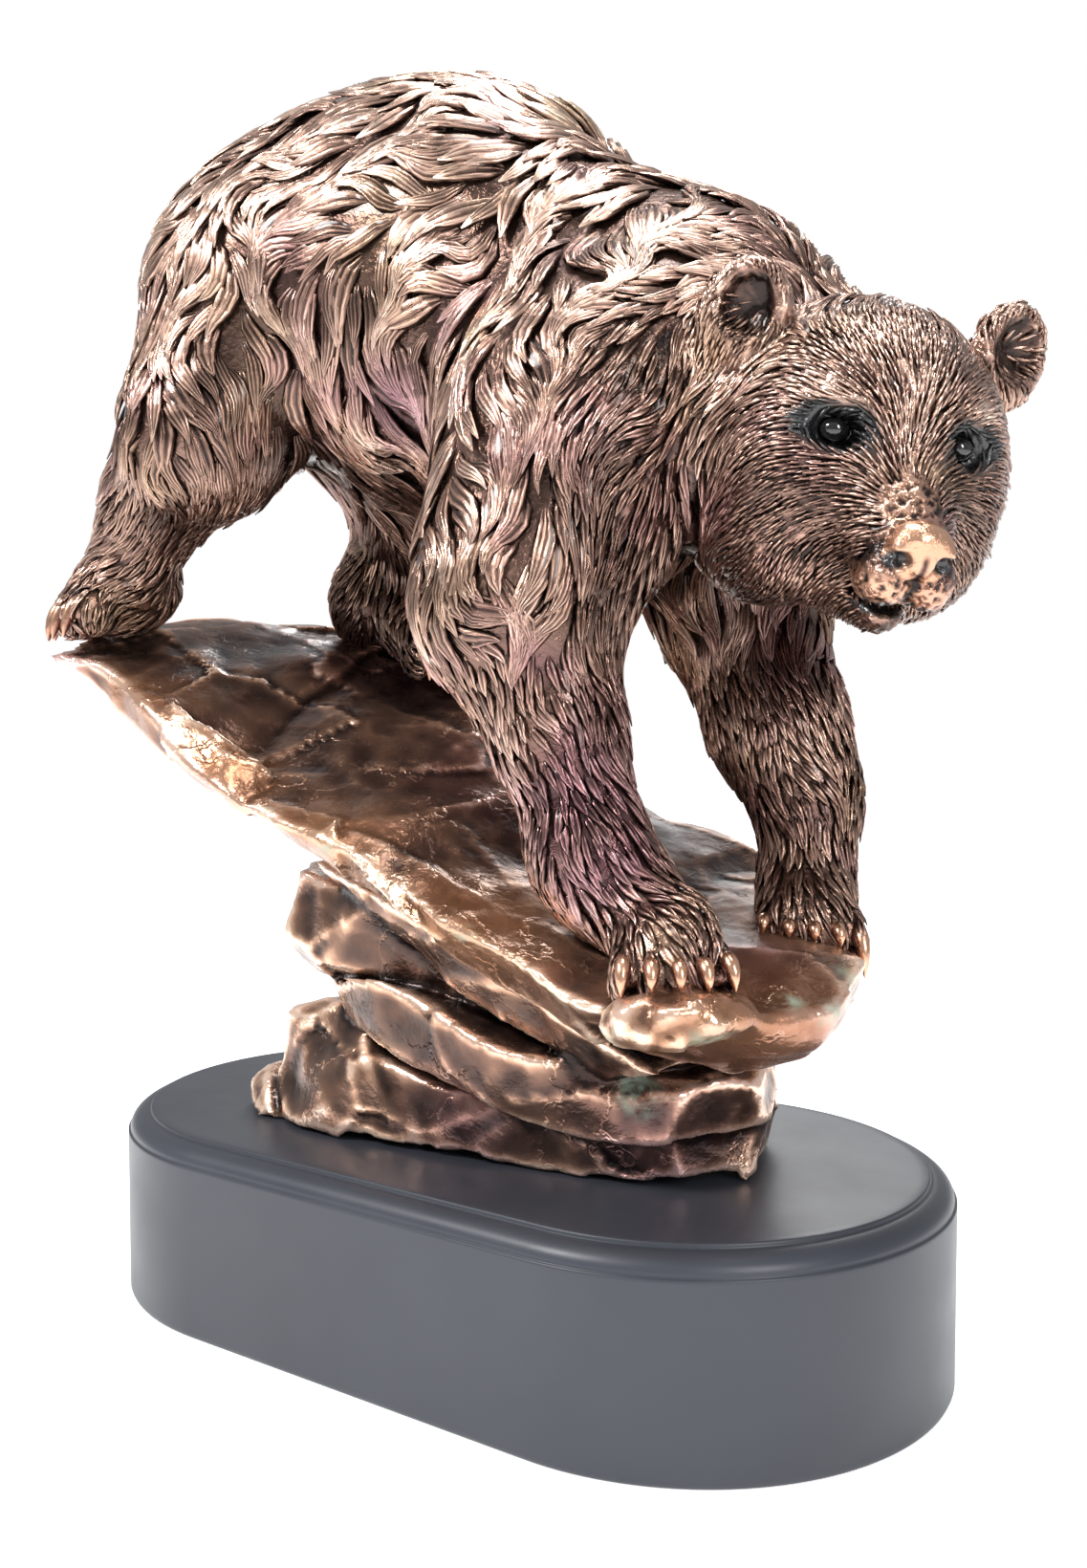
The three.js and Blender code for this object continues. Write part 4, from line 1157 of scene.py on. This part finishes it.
def claw_line(name, k):
    """Points of one claw: out of the top of the toe, over its front and down on to the rock."""
    at, rad, m = toe(name, k)
    ahead = m[0] * [1, 1, 0]
    ahead = ahead / np.linalg.norm(ahead)
    root = at + m[0] * rad[0] * 0.10 + m[2] * rad[2] * 0.55
    tip = at + ahead * (rad[0] + 0.9)
    tip[2] = max(rock_top(*tip) + 0.4, root[2] - 9)
    peak = (root + tip) / 2 + ahead * 1.6 + np.array([0, 0, 3.4])
    s = np.linspace(0, 1, len(CLAW_RADII))[:, None]
    return root * (1 - s) ** 2 + 2 * peak * s * (1 - s) + tip * s * s


CLAWS = [claw_line(name, k) for name in LIMBS for k in range(TOES)]


def claw_gap(p):
    """Distance to the free part of the nearest claw."""
    return np.min([norm(p - c) for line in CLAWS for c in line[2:]], axis=0)


def claws():
    """Tapered rings along each line, darker towards the root, with painted light on the upper side.
    """
    stacks, tint = [], []
    w = 2 * np.pi * np.arange(12)[:, None] / 12
    s = np.linspace(0, 1, 13)
    marks = np.linspace(0, 1, len(CLAW_RADII))
    for line in CLAWS:
        mids = np.stack([np.interp(s, marks, c) for c in line.T], 1)
        d = np.gradient(mids, axis=0)
        d /= norm(d)[:, None]
        side = np.cross(d, [0, 0, 1])
        side /= norm(side)[:, None]
        up = np.cross(side, d)
        r = np.interp(s, marks, CLAW_RADII)[:, None]
        wide, high = side * r * 0.95, up * r * 1.10
        rings = [mids[i] + wide[i] * np.cos(w) + high[i] * np.sin(w) for i in range(len(s))]
        # painted light: brighter on the upper side of each ring, darker towards the root
        painted_top_light = np.minimum(1, s[:, None] * 2.6) * (0.30 + 0.70 * np.maximum(0, np.sin(w[:, 0])))
        tint += [*(0.15 + 0.80 * painted_top_light).ravel(), 0.1, 1]
        stacks.append((rings, mids[0], mids[-1] + (line[-1] - line[-2]) * 0.12))
    tint = np.array(tint)[:, None] * [1, 0, 0, 0] + [0, 0, 0, 1]
    return stacked("claws", stacks, LIFT, flip=True, tint=tint)


def eyes():
    """Two glossy eyeballs, slightly flattened."""
    stacks = []
    b = 2 * np.pi * np.arange(24) / 24
    for s in (-1, 1):
        c = EYE_AT * [1, s, 1]
        rings = []
        for a in np.pi * np.arange(1, 14) / 14:
            q = [np.full(24, np.cos(a) * 2.4), np.sin(a) * np.cos(b) * 2.5,
                 np.sin(a) * np.sin(b) * 2.1]
            rings.append(HEAD_AT + (c + np.transpose(q)) @ HEAD_TURN)
        ends = HEAD_AT + (c + np.array([[2.4, 0, 0], [-2.4, 0, 0]])) @ HEAD_TURN
        stacks.append((rings, *ends))
    return stacked("eyes", stacks, LIFT)


def skin():
    """Trunk and legs, up to a little inside the head's own mesh."""
    verts, quads = surface_nets(skin_field, (-112, -62, 34), (96, 60, 236),
                                2.0)
    q = head_coords(verts)
    quads = quads[~((q[:, 0] > -6) & (norm(q) < 58))[quads].all(1)]
    rel = np.clip(0.25 + 0.25 * relief_of(verts, quads, (0.6, 2.0), (2, 6)), 0, 0.5)
    return figure("bear_body", verts, quads, (rel, 0 * rel, 0 * rel))


def head():
    """The head with its strokes, nose, pitted lips, black eye rims and cupped ears."""
    verts, quads = surface_nets(skin_field, (44, -62, 96), (136, 44, 192),
                                0.52)
    q = head_coords(verts)
    quads = quads[((q[:, 0] > -11) & (norm(q) < 60))[quads].all(1)]
    used, quads_flat = np.unique(quads, return_inverse=True)
    verts, quads, q = verts[used], quads_flat.reshape(quads.shape), q[used]
    x, y, z = q.T
    across = np.abs(y)
    rel = relief_of(verts, quads, (0.25, 0.9), (4, 16))
    n = vertex_normals(verts, quads)
    back = share((14 - x) / 24)
    fine_stroke = streaks(verts, n, 0.62, 3.0 + 3.0 * back, 5, 0.35)
    wide_stroke = streaks(verts, n, 1.5, 5.0 + 5.0 * back, 8, 0.45)
    stroke = 0.75 * fine_stroke + 0.45 * wide_stroke
    # the nose pad's outline, narrower below, with a seam round it
    half = 6.1 - 2.2 * share((-13.0 - z) / 3.5)
    pad_far = (across / half) ** 3 + np.abs((z + 11.6) / 4.9) ** 3
    pad_far = (pad_far + np.clip((41.6 - x) / 3.4, 0, 9) ** 3) ** (1 / 3)
    nose = share((1.06 - pad_far) / 0.08) * (x > 35)
    seam = share(1 - np.abs(pad_far - 1.12) / 0.09) * (x > 35)
    lids = spot(q, (21.5, 11.3, 3.4), (3.6, 3.0, 2.3), 2.1, 0.5)
    brow = spot(q, (17.5, 10.5, 9.6), (6, 7.2, 2.3), 1.3, 0.5)
    # painted shade: the inside of each nostril is painted black
    nostril_shade = spot(q, (43.8, 4.2, -13.6), (4.4, 2.2, 1.6), 1.2, 0.3)
    cup = spot(q, (2.2, 25.6, 20.8), (4, 5.4, 5.4), 1.15, 0.4)
    rim = spot(q, (-0.5, 24.8, 19.3), (5.5, 8.2, 9.6), 1.12, 0.3) * share((z - 17) / 3)
    painted = eye_paint(q, 0.08 * stroke)
    lips = share((x - 27) / 6) * share((-15.0 - z) / 3) * (z > -22.8)
    bridge = share((x - 30) / 4) * share((6.2 - across) / 3) * (z > -13)
    stipple = np.maximum(lips, bridge) * (1 - nose)
    pits = np.maximum(share((0.41 - facets(verts, 17, 1.8)[1]) / 0.09),
                      share((0.40 - facets(verts, 23, 1.05)[1]) / 0.14))
    # painted shade: the mouth slit is painted black
    slit = np.abs(z + 22.9) + np.clip(across - 7.4, 0, 9) + np.clip(29 - x, 0, 9)
    mouth_shade = share((2.0 - slit) / 0.5)
    groove = share(1.3 - across / 0.8) * share((-11.5 - z) / 1.5) * share((x - 36) / 3)
    groove = groove * (z > -21)
    hairy = (1 - nose) * (1 - lids) * (1 - 0.85 * stipple) * (1 - 0.5 * painted)
    ear = share(rim + cup)
    stroke = stroke * (1 - ear) + ear * (0.25 * fine_stroke + 0.85 * wide_stroke)
    push = 0.30 * stroke * hairy - 0.42 * pits * stipple - 0.35 * groove - 0.45 * seam
    rel = 0.26 + 0.16 * rel * (1 - hairy * 0.5) + 0.24 * stroke * hairy
    middle = share(1 - across / 9) * share((z + 6) / 6) * share(x / 8)
    rel += 0.04 * middle + 0.15 * brow + 0.36 * stipple * (1 - pits) - 0.30 * pits * stipple
    rel += 0.46 * nose + 0.22 * rim * (1 - cup) - 0.20 * cup - 0.7 * groove - 0.3 * seam
    rel += face_tone(q) * (1 - nose)
    # black eye paint, with painted shade in the mouth slit and nostrils
    paint_and_hole_shade = np.maximum(painted * (1 - brow), np.maximum(mouth_shade, nostril_shade))
    copper = share(nose + (0.75 * lips + 0.40 * bridge) * (1 - pits)) * (1 - groove)
    return figure("bear_head", verts + n * push[:, None], quads, (share(rel), paint_and_hole_shade, copper))


# Coat

def zone_sizes(p):
    """Lock length, width and skin depth at a point: trunk, lower legs, neck and face."""
    q = head_coords(p)
    r = norm(q)
    front = share((q[:, 0] + 14) / 30) * share((58 - r) / 8)
    low = share((leg_share(p) - 0.25) * 1.8)
    neck = share((66 - r) / 18) * (1 - low)
    length = (16.0 * (1 - low) + 6.6 * low) * (1 - 0.25 * neck)
    width = (3.8 * (1 - low) + 2.0 * low) * (1 - 0.2 * neck)
    length = length * (1 - front) + 3.6 * front
    width = width * (1 - front) + 0.85 * front
    return length, width, fur_depth(p)


def locks(name, low, high, target, ridges, steps, lift, swing, broad=1.0):
    """Locks over the places whose length lies between low and high."""
    def weight(p):
        l, w, _ = zone_sizes(p)
        return ((l >= low) & (l < high)) / (l * w)

    target = int(target * (1.0))
    p = surface_samples(*WHOLE, target * 5, weight)
    p = p - gradient(form, p) * form(p)[:, None]
    p = p[~bare(p) & (claw_gap(p) > 2.4)]
    l, w, d = zone_sizes(p)
    w = w * broad
    keep = spread(p, gradient(form, p), l, w, target)
    l = l[keep] * rng.uniform(0.8, 1.25, len(keep))
    w = w[keep] * rng.uniform(0.8, 1.2, len(keep))
    return ribbons(name, p[keep], l, w, d[keep], swing * np.clip(l / 12, 0.2, 1),
                   ridges, steps, lift)


def ear_seeds(count):
    """Points on both ears and round their roots, but not deep in the cups."""
    out = []
    for s in (-1, 1):
        for some, size, at in ((count, [5.5, 9.5, 11.5], [-0.5, s * 24.8, 18.8]),
                               (count // 4, [1.2, 4.6, 4.4], [0.8, s * 25.2, 17.6])):
            q = rng.normal(size=(some, 3))
            out.append(HEAD_AT + (q / norm(q)[:, None] * size + at) @ HEAD_TURN)
    p = np.concatenate(out)
    p = p[rng.permutation(len(p))]
    for _ in range(5):
        p = p - gradient(figure_field, p) * np.clip(figure_field(p), -3, 3)[:, None]
    half = halved(head_coords(p))
    near = away(half, (-0.5, 24.8, 18.8), (9, 11.5, 13)) < 1.05
    deep = away(half, (3.0, 25.8, 21.0), (3.4, 5.4, 5.6)) <= 0.45
    deep &= (half[:, 1] >= 25.2) & (half[:, 2] >= 19.0)
    return p[near & ~deep & (np.abs(figure_field(p)) < 0.3)]


def ear_coat():
    p = ear_seeds(3200)
    n = gradient(figure_field, p)
    same = np.ones(len(p))
    p = p[spread(p, n, 3.4 * same, 1.0 * same, 700)]
    length = 3.8 * rng.uniform(0.8, 1.2, len(p))
    return ribbons("coat_ears", p, length, np.full(len(p), 1.2), 0.25, 0.25,
                   1, 3, 0.12, figure_field)


# Build

dress(plinth(), satin_material(), "plinth")
dress(rocks(), rock_material())
dress(skin(), fur_material("Copper_Skin", False))
dress(head(), fur_material("Copper_Face", False))
WHOLE = surface_nets(form, (-112, -62, 34), (136, 60, 236), 3.0)
fur = fur_material("Copper_Fur", True)
dress(locks("coat_under", 9.5, 99, 1500, 3, 5, 0.0, 1.0, 1.4), fur)
dress(locks("coat_over", 9.5, 99, 1430, 4, 6, 0.3, 1.0), fur)
dress(locks("coat_legs", 5.0, 9.5, 3400, 2, 4, 0.15, 0.8), fur)
dress(locks("coat_face", 0, 5.0, 3000, 1, 3, 0.10, 0.6), fur)
dress(ear_coat(), fur)
dress(claws(), claw_material())
dress(eyes(), eye_material())


# Floor, light and camera

bpy.ops.mesh.primitive_plane_add(size=8, location=(0, 0, 0))
floor = bpy.context.object
floor.name = "floor"
g = Graph("Floor_Pale")
pale = g.ramp(g.noise(1.5, 2.0), [(0.3, (0.86, 0.86, 0.86)), (0.7, (0.88, 0.88, 0.88))])
floor.data.materials.append(g.shade(Base_Color=pale, Roughness=0.9, Emission_Strength=0.62,
                                    Emission_Color=(1.0, 1.0, 1.0)))


def softbox(name, at, to, size, power):
    light = bpy.data.lights.new(name, "AREA")
    light.shape = "RECTANGLE"
    light.size, light.size_y = size
    light.energy = power
    ob = bpy.data.objects.new(name, light)
    ob.location = at
    ob.rotation_euler = (Vector(to) - Vector(at)).to_track_quat("-Z", "Y").to_euler()
    bpy.context.scene.collection.objects.link(ob)


softbox("key", (-0.45, -0.85, 1.00), (0, 0, 0.15), (0.40, 0.30), 17)
softbox("side", (0.95, -0.45, 0.60), (0, 0, 0.14), (0.22, 0.5), 6)
softbox("top", (0.05, 0.05, 1.15), (0, 0, 0.15), (0.5, 0.35), 9)
softbox("back", (-0.45, 0.85, 0.65), (0, 0, 0.15), (0.5, 0.4), 4)

# White where the camera looks past the floor, softer and cooler for the object
world = bpy.data.worlds.new("World")
bpy.context.scene.world = world
world.use_nodes = True
wt = world.node_tree
shade = wt.nodes["Background"]
shade.inputs[0].default_value = (0.95, 0.97, 1, 1)
shade.inputs[1].default_value = 0.50
plain = wt.nodes.new("ShaderNodeBackground")
plain.inputs[0].default_value = (1, 1, 1, 1)
plain.inputs[1].default_value = 1.0
path = wt.nodes.new("ShaderNodeLightPath")
both = wt.nodes.new("ShaderNodeMixShader")
wt.links.new(path.outputs["Is Camera Ray"], both.inputs[0])
wt.links.new(shade.outputs[0], both.inputs[1])
wt.links.new(plain.outputs[0], both.inputs[2])
wt.links.new(both.outputs[0], wt.nodes["World Output"].inputs[0])

cam_data = bpy.data.cameras.new("camera")
cam = bpy.data.objects.new("camera", cam_data)
cam.location = (0.2045, -0.2685, 0.1372)
cam.rotation_euler = (radians(86.77), 0, radians(36.06))
cam_data.lens = 34.90
cam_data.sensor_width = 36
cam_data.clip_start = 0.01
bpy.context.scene.collection.objects.link(cam)
bpy.context.scene.camera = cam
bpy.context.scene.view_settings.view_transform = "Standard"
